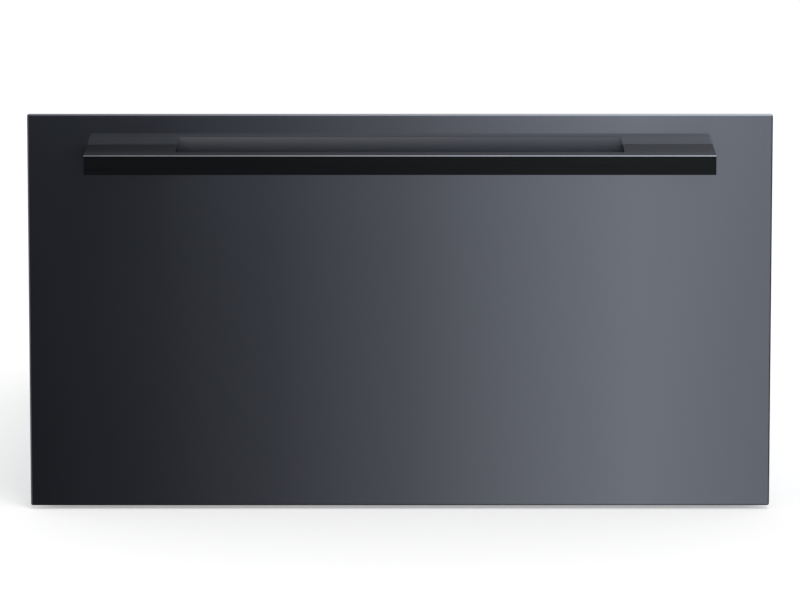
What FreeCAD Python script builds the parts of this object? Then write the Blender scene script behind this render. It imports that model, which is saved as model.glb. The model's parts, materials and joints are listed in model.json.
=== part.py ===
import FreeCAD, Part
import math
import os
import re
import Sketcher
from FreeCAD import Vector

# Built-in warming drawer for a 60 cm kitchen column: a dark glass front with a bar handle, carried with its
# heated tub on telescopic ball runners, in a sheet-steel casing with a fan, a heating element and controls.
# Millimetres. X runs to the right, the front faces -Y and Z is up. The origin is on the floor, in the middle
# of the overall width and depth.

SIZES = {
    # Drawer front
    "front_width": (596, "glass front, left to right"),
    "front_height": (319, "glass front, bottom to top"),
    "front_bottom": (3, "height of the glass front's lower edge above the floor"),
    "glass_thickness": (5, "glass front"),
    "glass_corner": (2, "radius of the glass front's corners"),
    "glass_bevel": (1.2, "ground bevel round the glass front"),
    "carrier_inset": (6, "glass edge to the steel carrier behind it"),
    "carrier_sheet": (1, "sheet of the carrier"),
    "carrier_depth": (8, "depth of the carrier's rim"),
    "liner_sheet": (0.8, "sheet of the inner liner of the front"),
    "liner_depth": (16, "depth of the inner liner"),
    "nest_fit": (0.2, "clearance of the liner inside the carrier"),
    "soft_fit": (0.3, "clearance round soft and insulating pieces"),
    "seal_gap": (3, "liner to the casing's front flanges"),
    "seal_width": (4, "width of the door seal"),
    "seal_inset": (0.5, "casing side to the door seal"),
    # Handle
    "handle_inset": (48, "edges of the glass to the ends of the handle"),
    "handle_height": (15.5, "handle, bottom to top"),
    "handle_standoff": (60, "glass to the front of the handle"),
    "handle_drop": (24.2, "top of the glass to the top of the handle"),
    "bar_depth": (18, "depth of the handle bar"),
    "bar_edge": (0.8, "rounding of the bar's front edges"),
    "block_width": (72, "width of each block between bar and glass"),
    "handle_pad": (1, "pad between block and glass"),
    "handle_screw": (5, "diameter of the handle screws"),
    "handle_screw_reach": (8, "depth of the handle screws in the bar"),
    "wool_drop": (12, "middle of the handle to the top of the insulation behind the glass"),
    "glass_hole": (8, "holes in the glass for the handle screws"),
    # Casing
    "casing_width": (556, "casing, left to right"),
    "casing_sheet": (1, "sheet of the casing"),
    "casing_height": (262, "casing above its feet, at the front"),
    "rear_drop": (30.5, "step down of the casing's top towards the rear"),
    "step_place": (290, "glass to the step in the casing's top"),
    "body_depth": (520, "glass to the rear edge of the casing"),
    "flange_width": (14, "front flanges that are screwed to the kitchen column"),
    "lip_height": (12, "front lips of the base and the top"),
    "back_inset": (8, "rear edge of the casing to its back panel"),
    "fold": (12, "flanges that join the panels"),
    "small_fold": (8, "flanges of the top cover"),
    "niche_hole": (4.5, "diameter of the mounting holes"),
    "niche_hole_edge": (5, "edge of the flange to the mounting holes"),
    "niche_low": (40, "floor of the casing to the lower mounting holes"),
    "niche_high": (220, "floor of the casing to the upper mounting holes"),
    "foot_height": (10, "rubber feet"),
    "foot_radius": (17, "rubber feet at the top"),
    "foot_inset": (48, "side of the casing to the feet"),
    "foot_front": (45, "front flange to the front feet"),
    "foot_rear": (70, "rear edge of the casing to the rear feet"),
    "screw": (3.2, "diameter of the casing screws"),
    "screw_head": (7, "diameter of every pan head"),
    "screw_head_height": (1.6, "height of every pan head"),
    "screw_reach": (1.5, "screws beyond the sheets that they hold"),
    "hole_slack": (0.1, "radial clearance of screws in their holes"),
    # Runners
    "rail_length": (400, "each member of a runner"),
    "rail_height": (45, "outer member of a runner"),
    "rail_width": (13, "casing side to tub side"),
    "rail_middle": (95, "height of the runners' centre line above the floor"),
    "rail_setback": (2, "front flange to the runners"),
    "rail_web": (1.2, "webs of the runner members"),
    "rail_flange": (2.2, "flanges of the runner members, where the balls run"),
    "rail_lip_gap": (0.8, "flange tips to the next web"),
    "ball_gap": (2.8, "gap between two members where the balls run"),
    "ball_radius": (2, "balls"),
    "ball_slack": (0.15, "radial clearance of the balls in their grooves"),
    "cage_web": (0.4, "web of a ball cage"),
    "cage_slack": (0.2, "clearance on each side of a cage web"),
    "cage_sheet": (1, "strips of a ball cage that hold the balls"),
    "cage_length": (160, "ball cage"),
    "cage_place": (120, "front of the runner to its ball cages, drawer closed"),
    "rail_screw": (4, "diameter of the runner screws"),
    "rail_screw_inset": (36, "ends of the runners to their end screws"),
    # Tub
    "tub_sheet": (0.8, "sheet of the tub"),
    "tub_bottom": (32, "underside of the tub above the floor"),
    "tub_height": (194, "tub"),
    "tub_length": (388, "tub, front to rear"),
    "tub_corner": (12, "upright corners of the tub"),
    "rim_width": (7, "rims along the tub's sides"),
    "rim_drop": (5, "lips of the rims"),
    "front_screw_inset": (32, "edges of the tub's front wall to its screws"),
    "pad_height": (3, "pads under the glass plate"),
    "pad_width": (24, "pads under the glass plate"),
    "plate_width": (500, "glass plate in the tub"),
    "plate_length": (350, "glass plate in the tub"),
    "plate_thickness": (4, "glass plate in the tub"),
    "plate_corner": (10, "corners of the glass plate"),
    "mat_inset": (6, "edge of the glass plate to the mat on it"),
    "mat_thickness": (2, "silicone mat"),
    # Air and heat
    "baffle_gap": (4, "tub to the rear baffle"),
    "baffle_sheet": (0.8, "rear baffle and fan chamber"),
    "baffle_inset": (22, "side of the tub to the edge of the baffle"),
    "buffer_radius": (7, "rubber buffers between baffle and tub"),
    "slot_height": (6, "air slots"),
    "slot_pitch": (18, "distance between the rows of air slots"),
    "slot_length": (64, "air slots in front of the fan"),
    "side_slot_length": (40, "air slots beside the fan"),
    "side_slot_place": (118, "middle of the drawer to the air slots beside the fan"),
    "fan_height": (130, "axis of the fan above the floor"),
    "fan_radius": (55, "fan wheel"),
    "fan_depth": (24, "fan wheel"),
    "fan_gap": (6, "baffle to the fan wheel"),
    "blade": (1, "blades and discs of the fan wheel"),
    "hub_radius": (8, "hub of the fan wheel"),
    "shaft_radius": (2.5, "fan shaft"),
    "shaft_slack": (0.3, "radial clearance of a turning shaft in its bore"),
    "chamber_width": (300, "fan chamber"),
    "chamber_height": (134, "fan chamber"),
    "chamber_depth": (37, "fan chamber"),
    "motor_gap": (8, "fan chamber to the motor's core"),
    "motor_width": (60, "core of the motor"),
    "motor_height": (50, "core of the motor"),
    "motor_depth": (20, "core of the motor"),
    "reflector_height": (16, "top of the heat reflector above the floor"),
    "reflector_width": (430, "heat reflector"),
    "reflector_length": (352, "heat reflector"),
    "reflector_front": (30, "front flange to the heat reflector"),
    "element_radius": (3.25, "tube of the heating element"),
    "element_bend": (30, "bends of the heating element, at the middle of its tube"),
    "element_width": (390, "loop of the heating element, left to right"),
    "element_length": (240, "loop of the heating element, front to rear"),
    "element_ends": (50, "distance between the ends of the heating element"),
    "clip_wall": (1.6, "clips over the heating element"),
    "clip_length": (9, "clips, along the element"),
    "ceiling_height": (232, "top of the ceiling plate above the floor"),
    # Controls
    "fascia_setback": (14, "front flange to the control fascia"),
    "knob_place": (190, "middle of the drawer to the knob"),
    "knob_height": (15, "ceiling plate to the axis of the knob"),
    "knob_radius": (11, "knob"),
    "knob_depth": (10, "knob"),
    "knob_edge": (1.2, "bevel round the knob's face, and width of its pointer groove"),
    "knob_gap": (1, "fascia to the knob"),
    "spindle_radius": (3, "spindle of the selector"),
    "spindle_reach": (12, "spindle in the selector switch"),
    "button_place": (140, "middle of the drawer to the power button"),
    "button_width": (13.4, "power button"),
    "button_height": (9.4, "power button"),
    "button_proud": (3, "power button in front of the fascia"),
    "button_slack": (0.3, "clearance round the power button"),
    "button_travel": (1.5, "travel of the power button"),
    "lens_place": (163, "middle of the drawer to the indicator lens"),
    "lens_radius": (2.5, "indicator lens"),
    "lens_proud": (0.8, "indicator lens in front of the fascia"),
    "switch_width": (26, "body of the selector switch"),
    "switch_depth": (20, "bodies of the switches behind the fascia"),
    "switch_rim": (3, "body of the power switch round the button"),
    "tray_width": (160, "tray of the control board"),
    "tray_length": (70, "tray of the control board"),
    "tray_height": (24, "tray of the control board"),
    "tray_wall": (2, "walls of the tray"),
    "board_thickness": (1.6, "control board"),
    # Mains connection
    "inlet_place": (200, "middle of the drawer to the mains inlet"),
    "inlet_height": (60, "mains inlet above the floor"),
    "inlet_width": (27, "body of the mains inlet"),
    "inlet_tall": (20, "body of the mains inlet"),
    "inlet_depth": (18, "body of the mains inlet"),
    "inlet_flange": (3, "flange of the mains inlet, in thickness and beyond its body"),
    "inlet_wall": (2, "walls and pins of the mains inlet"),
}

doc = FreeCAD.newDocument("WarmingDrawer")
sheet = doc.addObject("Spreadsheet::Sheet", "Sizes")
for row, (size, (number, note)) in enumerate(SIZES.items(), start=1):
    sheet.set(f"A{row}", note)
    sheet.set(f"B{row}", str(number))
    sheet.setAlias(f"B{row}", size)
doc.recompute()


class Length:
    """A length, held as an expression of the sheet's sizes, so that arithmetic on it stays parametric."""

    def __init__(self, text):
        self.text = text

    def __float__(self):
        return float(sheet.evalExpression(self.text.replace("Sizes.", "")))

    def __add__(self, other):
        return Length(f"({self.text} + {text_of(other)})")

    def __radd__(self, other):
        return Length(f"({text_of(other)} + {self.text})")

    def __sub__(self, other):
        return Length(f"({self.text} - {text_of(other)})")

    def __rsub__(self, other):
        return Length(f"({text_of(other)} - {self.text})")

    def __mul__(self, other):
        return Length(f"({self.text} * {text_of(other)})")

    __rmul__ = __mul__

    def __truediv__(self, other):
        return Length(f"({self.text} / {text_of(other)})")

    def __neg__(self):
        return Length(f"(0 - {self.text})")


def text_of(amount):
    return amount.text if isinstance(amount, Length) else str(amount)


def bind(thing, name, amount):
    """Binds a property or a constraint to the sheet."""
    thing.setExpression(name, text_of(amount))


class Sizes:
    """Every driving size under its own name, as a Length."""


mm = Sizes()
for size in SIZES:
    setattr(mm, size, Length(f"Sizes.{size}"))

LEFT, RIGHT = -1, 1
SIDES = {"left": LEFT, "right": RIGHT}
NORMAL = {"XY": 1, "XZ": -1, "YZ": 1}  # which way a sketch on each origin plane faces along its axis
START, END, CENTRE = (place + 1 for place in range(3))  # how a sketch numbers the points of an edge
CLOCKWISE = "clockwise"

# Planes across the depth, front to rear
glass_front = (mm.handle_standoff - mm.body_depth) / 2
glass_back = glass_front + mm.glass_thickness
liner_front = glass_back + mm.carrier_sheet
liner_back = liner_front + mm.liner_depth
flange_front = liner_back + mm.seal_gap
flange_back = flange_front + mm.casing_sheet
rail_front = flange_front + mm.rail_setback
fascia_front = flange_front + mm.fascia_setback
fascia_back = fascia_front + mm.casing_sheet
step_back = glass_front + mm.step_place
tub_back = liner_back + mm.tub_length
baffle_front = tub_back + mm.baffle_gap
baffle_back = baffle_front + mm.baffle_sheet
chamber_back = baffle_back + mm.chamber_depth
motor_front = chamber_back + mm.motor_gap
motor_back = motor_front + mm.motor_depth
casing_back = glass_front + mm.body_depth
panel_back = casing_back - mm.back_inset
panel_front = panel_back - mm.casing_sheet
join_front = panel_back - mm.fold

# Planes across the width, from the middle outwards
casing_side = mm.casing_width / 2
inner_side = casing_side - mm.casing_sheet
fold_side = inner_side - mm.casing_sheet
tub_side = inner_side - mm.rail_width
tub_inside = tub_side - mm.tub_sheet

# Heights
front_top = mm.front_bottom + mm.front_height
casing_bottom = mm.foot_height
base_top = casing_bottom + mm.casing_sheet
casing_top = casing_bottom + mm.casing_height
cover_under = casing_top - mm.casing_sheet
rear_top = casing_top - mm.rear_drop
rear_under = rear_top - mm.casing_sheet
ceiling_under = mm.ceiling_height - mm.casing_sheet
tub_floor = mm.tub_bottom + mm.tub_sheet
tub_top = mm.tub_bottom + mm.tub_height
handle_middle = front_top - mm.handle_drop - mm.handle_height / 2
half_handle = mm.front_width / 2 - mm.handle_inset
controls_height = mm.ceiling_height + mm.knob_height

# Holes
screw_hole = mm.screw / 2 + mm.hole_slack
rail_screw_hole = mm.rail_screw / 2 + mm.hole_slack
handle_screw_hole = mm.handle_screw / 2 + mm.hole_slack

cuts = []


# Outlines: lists of corners in a sketch's own plane. A corner's third entry is the centre of an anticlockwise
# arc to the next corner, or of a clockwise one where CLOCKWISE follows.

def rectangle(left, low, right, high):
    return [(left, low), (right, low), (right, high), (left, high)]


def block(middle, height, width, tall):
    """A rectangle given by its centre and its size."""
    return rectangle(middle - width / 2, height - tall / 2, middle + width / 2, height + tall / 2)


def rounded(left, low, right, high, radius):
    """A rectangle with round corners."""
    return [
        (left + radius, low),
        (right - radius, low, (right - radius, low + radius)),
        (right, low + radius),
        (right, high - radius, (right - radius, high - radius)),
        (right - radius, high),
        (left + radius, high, (left + radius, high - radius)),
        (left, high - radius),
        (left, low + radius, (left + radius, low + radius)),
    ]


def circle(across, up, radius):
    return (across, up, radius)


def polygon(across, up, radius, corners):
    """A regular polygon given by its centre and the distance of its corners from it."""
    outline = []
    for number in range(corners):
        angle = 2 * math.pi * number / corners
        outline.append((across + radius * round(math.cos(angle), 4), up + radius * round(math.sin(angle), 4)))
    return outline


def hexagon(across, up, radius):
    return polygon(across, up, radius, 6)


def folded(path, thickness):
    """The section of a folded sheet: a path of square bends, thickened to the left of its direction."""
    places = [(float(across), float(up)) for across, up in path]
    normals = []
    for (x0, y0), (x1, y1) in zip(places, places[1:]):
        run = math.hypot(x1 - x0, y1 - y0)
        normals.append((round((y0 - y1) / run), round((x1 - x0) / run)))
    inner = []
    for number, (across, up) in enumerate(path):
        touching = normals[max(number - 1, 0):number + 1]
        shift_x = sum(normal[0] for normal in touching)
        shift_y = sum(normal[1] for normal in touching)
        inner.append((across + shift_x * thickness, up + shift_y * thickness))
    return path + inner[::-1]


def draw(drawing, outline, closed=True):
    """Adds an outline to a sketch, with every corner, centre and radius bound to the sheet."""
    first = drawing.GeometryCount
    if isinstance(outline, tuple):
        across, up, radius = outline
        drawing.addGeometry(Part.Circle(Vector(float(across), float(up), 0), Vector(0, 0, 1), float(radius)))
        number = drawing.addConstraint(Sketcher.Constraint("Radius", first, float(radius)))
        bind(drawing, f"Constraints[{number}]", radius)
        pin(drawing, first, CENTRE, "DistanceX", across)
        pin(drawing, first, CENTRE, "DistanceY", up)
        return
    places = [Vector(float(corner[0]), float(corner[1]), 0) for corner in outline]
    count = len(outline)
    edges, ends = [], []
    for number in range(count if closed else count - 1):
        corner = outline[number]
        start, end = places[number], places[(number + 1) % count]
        clockwise = corner[3:] == (CLOCKWISE,)
        if clockwise:
            start, end = end, start
        edges.append(arc(start, end, corner[2]) if len(corner) > 2 else Part.LineSegment(start, end))
        ends.append((END, START) if clockwise else (START, END))
    drawing.addGeometry(edges)
    joints = []
    for number in range(count if closed else count - 2):
        after = (number + 1) % count
        joint = Sketcher.Constraint("Coincident", first + number, ends[number][1], first + after, ends[after][0])
        joints.append(joint)
    drawing.addConstraint(joints)
    for number, corner in enumerate(outline):
        edge = first + min(number, len(edges) - 1)
        point = ends[number][0] if number < len(edges) else ends[-1][1]
        pin(drawing, edge, point, "DistanceX", corner[0])
        pin(drawing, edge, point, "DistanceY", corner[1])
        if len(corner) > 2:
            chord = places[(number + 1) % count] - places[number]
            upright = abs(chord.y) >= abs(chord.x)
            way = "DistanceX" if upright else "DistanceY"
            pin(drawing, edge, CENTRE, way, corner[2][0 if upright else 1])


def pin(drawing, edge, point, kind, amount):
    """Sets one coordinate of an edge's start, end or centre."""
    number = drawing.addConstraint(Sketcher.Constraint(kind, -1, 1, edge, point, float(amount)))
    bind(drawing, f"Constraints[{number}]", amount)


def arc(start, end, centre):
    """An anticlockwise arc from start to end."""
    middle = Vector(float(centre[0]), float(centre[1]), 0)
    from_angle = math.atan2(start.y - middle.y, start.x - middle.x)
    to_angle = math.atan2(end.y - middle.y, end.x - middle.x)
    round_centre = Part.Circle(middle, Vector(0, 0, 1), (start - middle).Length)
    return Part.ArcOfCircle(round_centre, from_angle, to_angle + (2 * math.pi if to_angle < from_angle else 0))


# Features

def piece(name):
    """A new sub-part. Its label is its node's name."""
    part = doc.addObject("PartDesign::Body", name)
    part.Label = name
    part.AllowCompound = True
    return part


def sketch(part, name, plane, outlines, level):
    """A sketch parallel to one of the sub-part's origin planes, at a level along that plane's axis."""
    drawing = part.newObject("Sketcher::SketchObject", f"{name}Sketch")
    origin = next(item for item in part.Origin.OriginFeatures if item.Role == f"{plane}_Plane")
    drawing.AttachmentSupport = [(origin, "")]
    drawing.MapMode = "FlatFace"
    bind(drawing, "AttachmentOffset.Base.z", NORMAL[plane] * level)
    for outline in outlines:
        draw(drawing, outline)
    return drawing


def pad(part, name, plane, outlines, start, length):
    """Adds material from a level, in the positive direction of the plane's axis."""
    feature = part.newObject("PartDesign::Pad", name)
    feature.Profile = sketch(part, name, plane, outlines, start)
    feature.Reversed = NORMAL[plane] < 0
    bind(feature, "Length", length)
    return feature


def cut(part, name, plane, outlines, start, length):
    """Takes material away from a level, in the positive direction of the plane's axis."""
    feature = part.newObject("PartDesign::Pocket", name)
    feature.Profile = sketch(part, name, plane, outlines, start)
    feature.Reversed = NORMAL[plane] > 0
    bind(feature, "Length", length)
    cuts.append(feature)
    return feature


def pad_between(part, name, outlines, side, near, far):
    """Adds material along X between two distances from the middle, on one side of it."""
    return pad(part, name, "YZ", outlines, near if side == RIGHT else -far, far - near)


def cut_between(part, name, outlines, side, near, far):
    """Takes material away along X between two distances from the middle, on one side of it."""
    return cut(part, name, "YZ", outlines, near if side == RIGHT else -far, far - near)


def bevel(part, name, levels, amount):
    """Bevels every edge of the flat faces that lie at some levels across the depth."""
    doc.recompute()
    base = part.Tip
    faces = []
    for number, face in enumerate(base.Shape.Faces, start=1):
        box = face.BoundBox
        if any(max(abs(box.YMin - float(level)), abs(box.YMax - float(level))) < 1e-4 for level in levels):
            faces.append(f"Face{number}")
    feature = part.newObject("PartDesign::Chamfer", name)
    feature.Base = (base, faces)
    bind(feature, "Size", amount)


def set_on_axis(part, across, height):
    """Moves a sub-part that is modelled about the Y axis to its place."""
    bind(part, "Placement.Base.x", across)
    bind(part, "Placement.Base.z", height)


def mirrored(side, across):
    """A distance from the middle as a coordinate on one side."""
    return across if side == RIGHT else -across


def on_side(side, near, low, far, high):
    """A rectangle in the XZ plane between two distances from the middle, on one side of it."""
    return rectangle(near, low, far, high) if side == RIGHT else rectangle(-far, low, -near, high)


# Drawer front: glass, steel carrier, liner, insulation and seal

def front_outline(inset):
    """The glass front's rectangle, drawn in by an inset."""
    return rectangle(
        -(mm.front_width / 2 - inset), mm.front_bottom + inset, mm.front_width / 2 - inset, front_top - inset
    )


def at_handle_screws(outline, radius):
    """An outline round each of the two handle screws, which are in the middle of the end blocks."""
    block_middle = half_handle - mm.block_width / 2
    return [outline(side * block_middle, handle_middle, radius) for side in SIDES.values()]


def at_front_screws(radius):
    """Hexagons at the screws that hold the tub's front wall to the liner."""
    return [
        hexagon(side * (tub_inside - mm.front_screw_inset), height, radius)
        for side in SIDES.values()
        for height in (tub_floor + mm.front_screw_inset, tub_top - mm.front_screw_inset)
    ]


liner_inset = mm.carrier_inset + mm.carrier_sheet + mm.nest_fit
insulation_top = handle_middle - mm.wool_drop

glass = piece("front_glass")
half_front = mm.front_width / 2
glass_outline = rounded(-half_front, mm.front_bottom, half_front, front_top, mm.glass_corner)
pad(glass, "Pane", "XZ", [glass_outline], glass_front, mm.glass_thickness)
cut(glass, "HandleHoles", "XZ", at_handle_screws(circle, mm.glass_hole / 2), glass_front, mm.glass_thickness)
bevel(glass, "Bevel", [glass_front], mm.glass_bevel)

carrier = piece("front_carrier")
pad(carrier, "Tray", "XZ", [front_outline(mm.carrier_inset)], glass_back, mm.carrier_depth)
carrier_inside = front_outline(mm.carrier_inset + mm.carrier_sheet)
cut(carrier, "Inside", "XZ", [carrier_inside], liner_front, mm.carrier_depth - mm.carrier_sheet)
cut(carrier, "HandleHoles", "XZ", at_handle_screws(hexagon, handle_screw_hole), glass_back, mm.carrier_sheet)

liner = piece("front_liner")
pad(liner, "Tray", "XZ", [front_outline(liner_inset)], liner_front, mm.liner_depth)
liner_inside = front_outline(liner_inset + mm.liner_sheet)
cut(liner, "Inside", "XZ", [liner_inside], liner_front, mm.liner_depth - mm.liner_sheet)
cut(liner, "TubHoles", "XZ", at_front_screws(screw_hole), liner_back - mm.liner_sheet, mm.liner_sheet)
bevel(liner, "PressedEdge", [liner_back], mm.liner_sheet * 0.75)

insulation = piece("front_insulation")
insulation_inset = liner_inset + mm.liner_sheet + mm.soft_fit
insulation_low = mm.front_bottom + insulation_inset
insulation_side = mm.front_width / 2 - insulation_inset
insulation_front = liner_front + mm.soft_fit
insulation_depth = mm.liner_depth - mm.liner_sheet - 2 * mm.soft_fit
insulation_outline = rectangle(-insulation_side, insulation_low, insulation_side, insulation_top)
pad(insulation, "Slab", "XZ", [insulation_outline], insulation_front, insulation_depth)

seal = piece("door_seal")
seal_in = casing_side + mm.seal_inset
seal_out = seal_in + mm.seal_width
seal_low = casing_bottom + mm.lip_height / 4
seal_high = casing_top - mm.lip_height / 4
seal_outlines = [
    rounded(-seal_out, seal_low, seal_out, seal_high, mm.seal_width * 1.5),
    rectangle(-seal_in, seal_low + mm.seal_width, seal_in, seal_high - mm.seal_width),
]
pad(seal, "Ring", "XZ", seal_outlines, liner_back, mm.seal_gap - mm.soft_fit)

# Handle: a bar on two end blocks, clamped to the carrier by long screws through the glass

bar_front = glass_front - mm.handle_standoff
bar_back = bar_front + mm.bar_depth
block_depth = mm.handle_standoff - mm.bar_depth - mm.handle_pad
handle_low = handle_middle - mm.handle_height / 2
handle_high = handle_middle + mm.handle_height / 2

bar = piece("handle_bar")
pad(bar, "Bar", "XZ", [rectangle(-half_handle, handle_low, half_handle, handle_high)], bar_front, mm.bar_depth)
screw_bore = mm.handle_screw_reach + mm.hole_slack
cut(bar, "ScrewBores", "XZ", at_handle_screws(hexagon, handle_screw_hole), bar_back - screw_bore, screw_bore)
bevel(bar, "SoftEdges", [bar_front], mm.bar_edge)


def block_outline(side):
    return on_side(side, half_handle - mm.block_width, handle_low, half_handle, handle_high)


for name, side in SIDES.items():
    handle_block = piece(f"{name}_handle_block")
    pad(handle_block, "Block", "XZ", [block_outline(side)], bar_back, block_depth)
    hole = hexagon(side * (half_handle - mm.block_width / 2), handle_middle, handle_screw_hole)
    cut(handle_block, "ScrewHole", "XZ", [hole], bar_back, block_depth)

handle_pads = piece("handle_pads")
pad_outlines = [block_outline(side) for side in SIDES.values()] + at_handle_screws(hexagon, mm.glass_hole / 2)
pad(handle_pads, "Pads", "XZ", pad_outlines, glass_front - mm.handle_pad, mm.handle_pad)

handle_screws = piece("handle_screws")
screw_start = bar_back - mm.handle_screw_reach
shanks = at_handle_screws(hexagon, mm.handle_screw / 2)
pad(handle_screws, "Shanks", "XZ", shanks, screw_start, liner_front - screw_start)
pad(handle_screws, "Heads", "XZ", at_handle_screws(hexagon, mm.handle_screw), liner_front, mm.handle_screw / 2)

# Telescopic runners. Each member's section is given by distances from the casing's side and from the
# runner's centre line: outer member on the casing, middle member, inner member on the tub.

outer_half = mm.rail_height / 2
outer_in = outer_half - mm.rail_flange
outer_row = outer_in - mm.ball_gap / 2
middle_half = outer_in - mm.ball_gap
middle_in = middle_half - mm.rail_flange
inner_row = middle_in - mm.ball_gap / 2
inner_half = middle_in - mm.ball_gap
inner_in = inner_half - mm.rail_flange
cage_room = 2 * mm.cage_slack + mm.cage_web
middle_web = mm.rail_web + cage_room
inner_tip = middle_web + mm.rail_web + cage_room
inner_web = mm.rail_width - mm.rail_web
lip = inner_web - mm.rail_lip_gap
ball_line = (inner_tip + lip) / 2
groove = mm.ball_radius + mm.ball_slack
cage_lip = ball_line + mm.ball_radius + mm.cage_sheet


def channel(web_side, web_inside, tip, half, half_inside):
    """The section of a channel: a web and two flanges."""
    return [
        (web_side, -half), (tip, -half), (tip, -half_inside), (web_inside, -half_inside),
        (web_inside, half_inside), (tip, half_inside), (tip, half), (web_side, half),
    ]


def runner_section(side, corners):
    """Corners of a runner's section as coordinates in the XZ plane."""
    return [(mirrored(side, inner_side - across), mm.rail_middle + up) for across, up in corners]


def grooves(side, *rows):
    """Ball grooves as circles above and below the centre line."""
    line = mirrored(side, inner_side - ball_line)
    return [circle(line, mm.rail_middle + step * row, groove) for row in rows for step in (LEFT, RIGHT)]


def at_rail_screws(radius):
    """Hexagons at the screws of a runner, seen from the side."""
    places = (mm.rail_screw_inset, mm.rail_length - mm.rail_screw_inset)
    return [hexagon(rail_front + along, mm.rail_middle, radius) for along in places]


def member(name, side, section, rows):
    """One member of a runner, rolled with its ball grooves."""
    rail = piece(name)
    pad(rail, "Section", "XZ", [runner_section(side, section)], rail_front, mm.rail_length)
    cut(rail, "Grooves", "XZ", grooves(side, *rows), rail_front, mm.rail_length)
    return rail


BALLS_IN_ROW = 3
BALL_REACH = 0.85  # middle of a ball to its flat ends, as a share of its radius
BALL_FACET = 0.4  # facets round those ends, as a share of its radius


def cage(name, side, web, row):
    """A ball cage: a thin channel with windows in its two strips, and balls with plane facets in them."""
    strip = mm.cage_sheet / 2
    section = channel(web, web + mm.cage_web, cage_lip, row + strip, row - strip)
    start = rail_front + mm.cage_place
    holder = piece(name)
    pad(holder, "Strip", "XZ", [runner_section(side, section)], start, mm.cage_length)
    line = mirrored(side, inner_side - ball_line)
    pitch = mm.cage_length / BALLS_IN_ROW
    places = [start + pitch * (number + 0.5) for number in range(BALLS_IN_ROW)]
    window = 2 * (mm.ball_radius + mm.hole_slack)
    windows = [block(line, along, window, window) for along in places]
    low = mm.rail_middle - row - mm.cage_sheet
    cut(holder, "Windows", "XY", windows, low, 2 * (row + mm.cage_sheet))
    reach = BALL_REACH * mm.ball_radius
    rounds = [hexagon(line, mm.rail_middle + step * row, mm.ball_radius) for step in (LEFT, RIGHT)]
    for number, along in enumerate(places, start=1):
        pad(holder, f"Balls{number}", "XZ", rounds, along - reach, 2 * reach)
    ends = [along + step * reach for along in places for step in (LEFT, RIGHT)]
    bevel(holder, "BallFacets", ends, BALL_FACET * mm.ball_radius)


outer_section = channel(0, mm.rail_web, lip, outer_half, outer_in)
middle_section = channel(middle_web, middle_web + mm.rail_web, lip, middle_half, middle_in)
inner_section = channel(mm.rail_width, inner_web, inner_tip, inner_half, inner_in)
rail_holes = at_rail_screws(rail_screw_hole)
for name, side in SIDES.items():
    outer = member(f"{name}_outer_rail", side, outer_section, [outer_row])
    cut_between(outer, "ScrewHoles", rail_holes, side, inner_side - mm.rail_web, inner_side)
    member(f"{name}_middle_rail", side, middle_section, [outer_row, inner_row])
    inner = member(f"{name}_inner_rail", side, inner_section, [inner_row])
    cut_between(inner, "ScrewHoles", rail_holes, side, tub_side, tub_side + mm.rail_web)
    cage(f"{name}_outer_cage", side, mm.rail_web + mm.cage_slack, outer_row)
    cage(f"{name}_inner_cage", side, middle_web + mm.rail_web + mm.cage_slack, inner_row)

# Tub: pressed steel with air slots in its rear wall, a glass plate on pads, and a mat


def air_slots():
    """Slots in front of the fan and on both sides of it, alike in the tub and in the baffle behind it."""
    outlines = []
    for row in (-2, -1, 0, 1, 2):
        height = mm.fan_height + row * mm.slot_pitch
        outlines.append(block(0, height, mm.slot_length, mm.slot_height))
        for side in SIDES.values():
            outlines.append(block(side * mm.side_slot_place, height, mm.side_slot_length, mm.slot_height))
    return outlines


tub = piece("drawer_tub")
tub_outline = rounded(-tub_side, liner_back, tub_side, tub_back, mm.tub_corner)
inside_outline = rounded(
    -tub_inside, liner_back + mm.tub_sheet, tub_inside, tub_back - mm.tub_sheet, mm.tub_corner - mm.tub_sheet
)
pad(tub, "Shell", "XY", [tub_outline], mm.tub_bottom, mm.tub_height)
cut(tub, "Inside", "XY", [inside_outline], tub_floor, mm.tub_height - mm.tub_sheet)
rim_out = tub_side + mm.rim_width
rim_under = tub_top - mm.tub_sheet
rim_length = mm.tub_length - 2 * mm.tub_corner
for name, side in SIDES.items():
    lip_start = rim_out - mm.tub_sheet
    rim_section = [
        (tub_side, rim_under), (lip_start, rim_under), (lip_start, rim_under - mm.rim_drop),
        (rim_out, rim_under - mm.rim_drop), (rim_out, tub_top), (tub_side, tub_top),
    ]
    rim_outline = [(mirrored(side, across), height) for across, height in rim_section]
    pad(tub, f"{name.title()}Rim", "XZ", [rim_outline], liner_back + mm.tub_corner, rim_length)
    cut_between(tub, f"{name.title()}Holes", rail_holes, side, tub_inside, tub_side)
cut(tub, "AirSlots", "XZ", air_slots(), tub_back - mm.tub_sheet, mm.tub_sheet)
cut(tub, "LinerHoles", "XZ", at_front_screws(screw_hole), liner_back, mm.tub_sheet)

plate_low = tub_floor + mm.pad_height
plate_top = plate_low + mm.plate_thickness
tub_middle = (liner_back + tub_back) / 2

plate_pads = piece("plate_pads")
across_places = [side * (mm.plate_width / 2 - mm.pad_width) for side in (LEFT, 0, RIGHT)]
along_places = [tub_middle + step * (mm.plate_length / 2 - mm.pad_width) for step in (LEFT, RIGHT)]
pad_outlines = [
    block(across, along, mm.pad_width, mm.pad_width) for across in across_places for along in along_places
]
pad(plate_pads, "Pads", "XY", pad_outlines, tub_floor, mm.pad_height)

plate = piece("glass_plate")
half_plate = mm.plate_width / 2
plate_front = tub_middle - mm.plate_length / 2
plate_back = tub_middle + mm.plate_length / 2
plate_outline = rounded(-half_plate, plate_front, half_plate, plate_back, mm.plate_corner)
pad(plate, "Plate", "XY", [plate_outline], plate_low, mm.plate_thickness)

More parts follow.
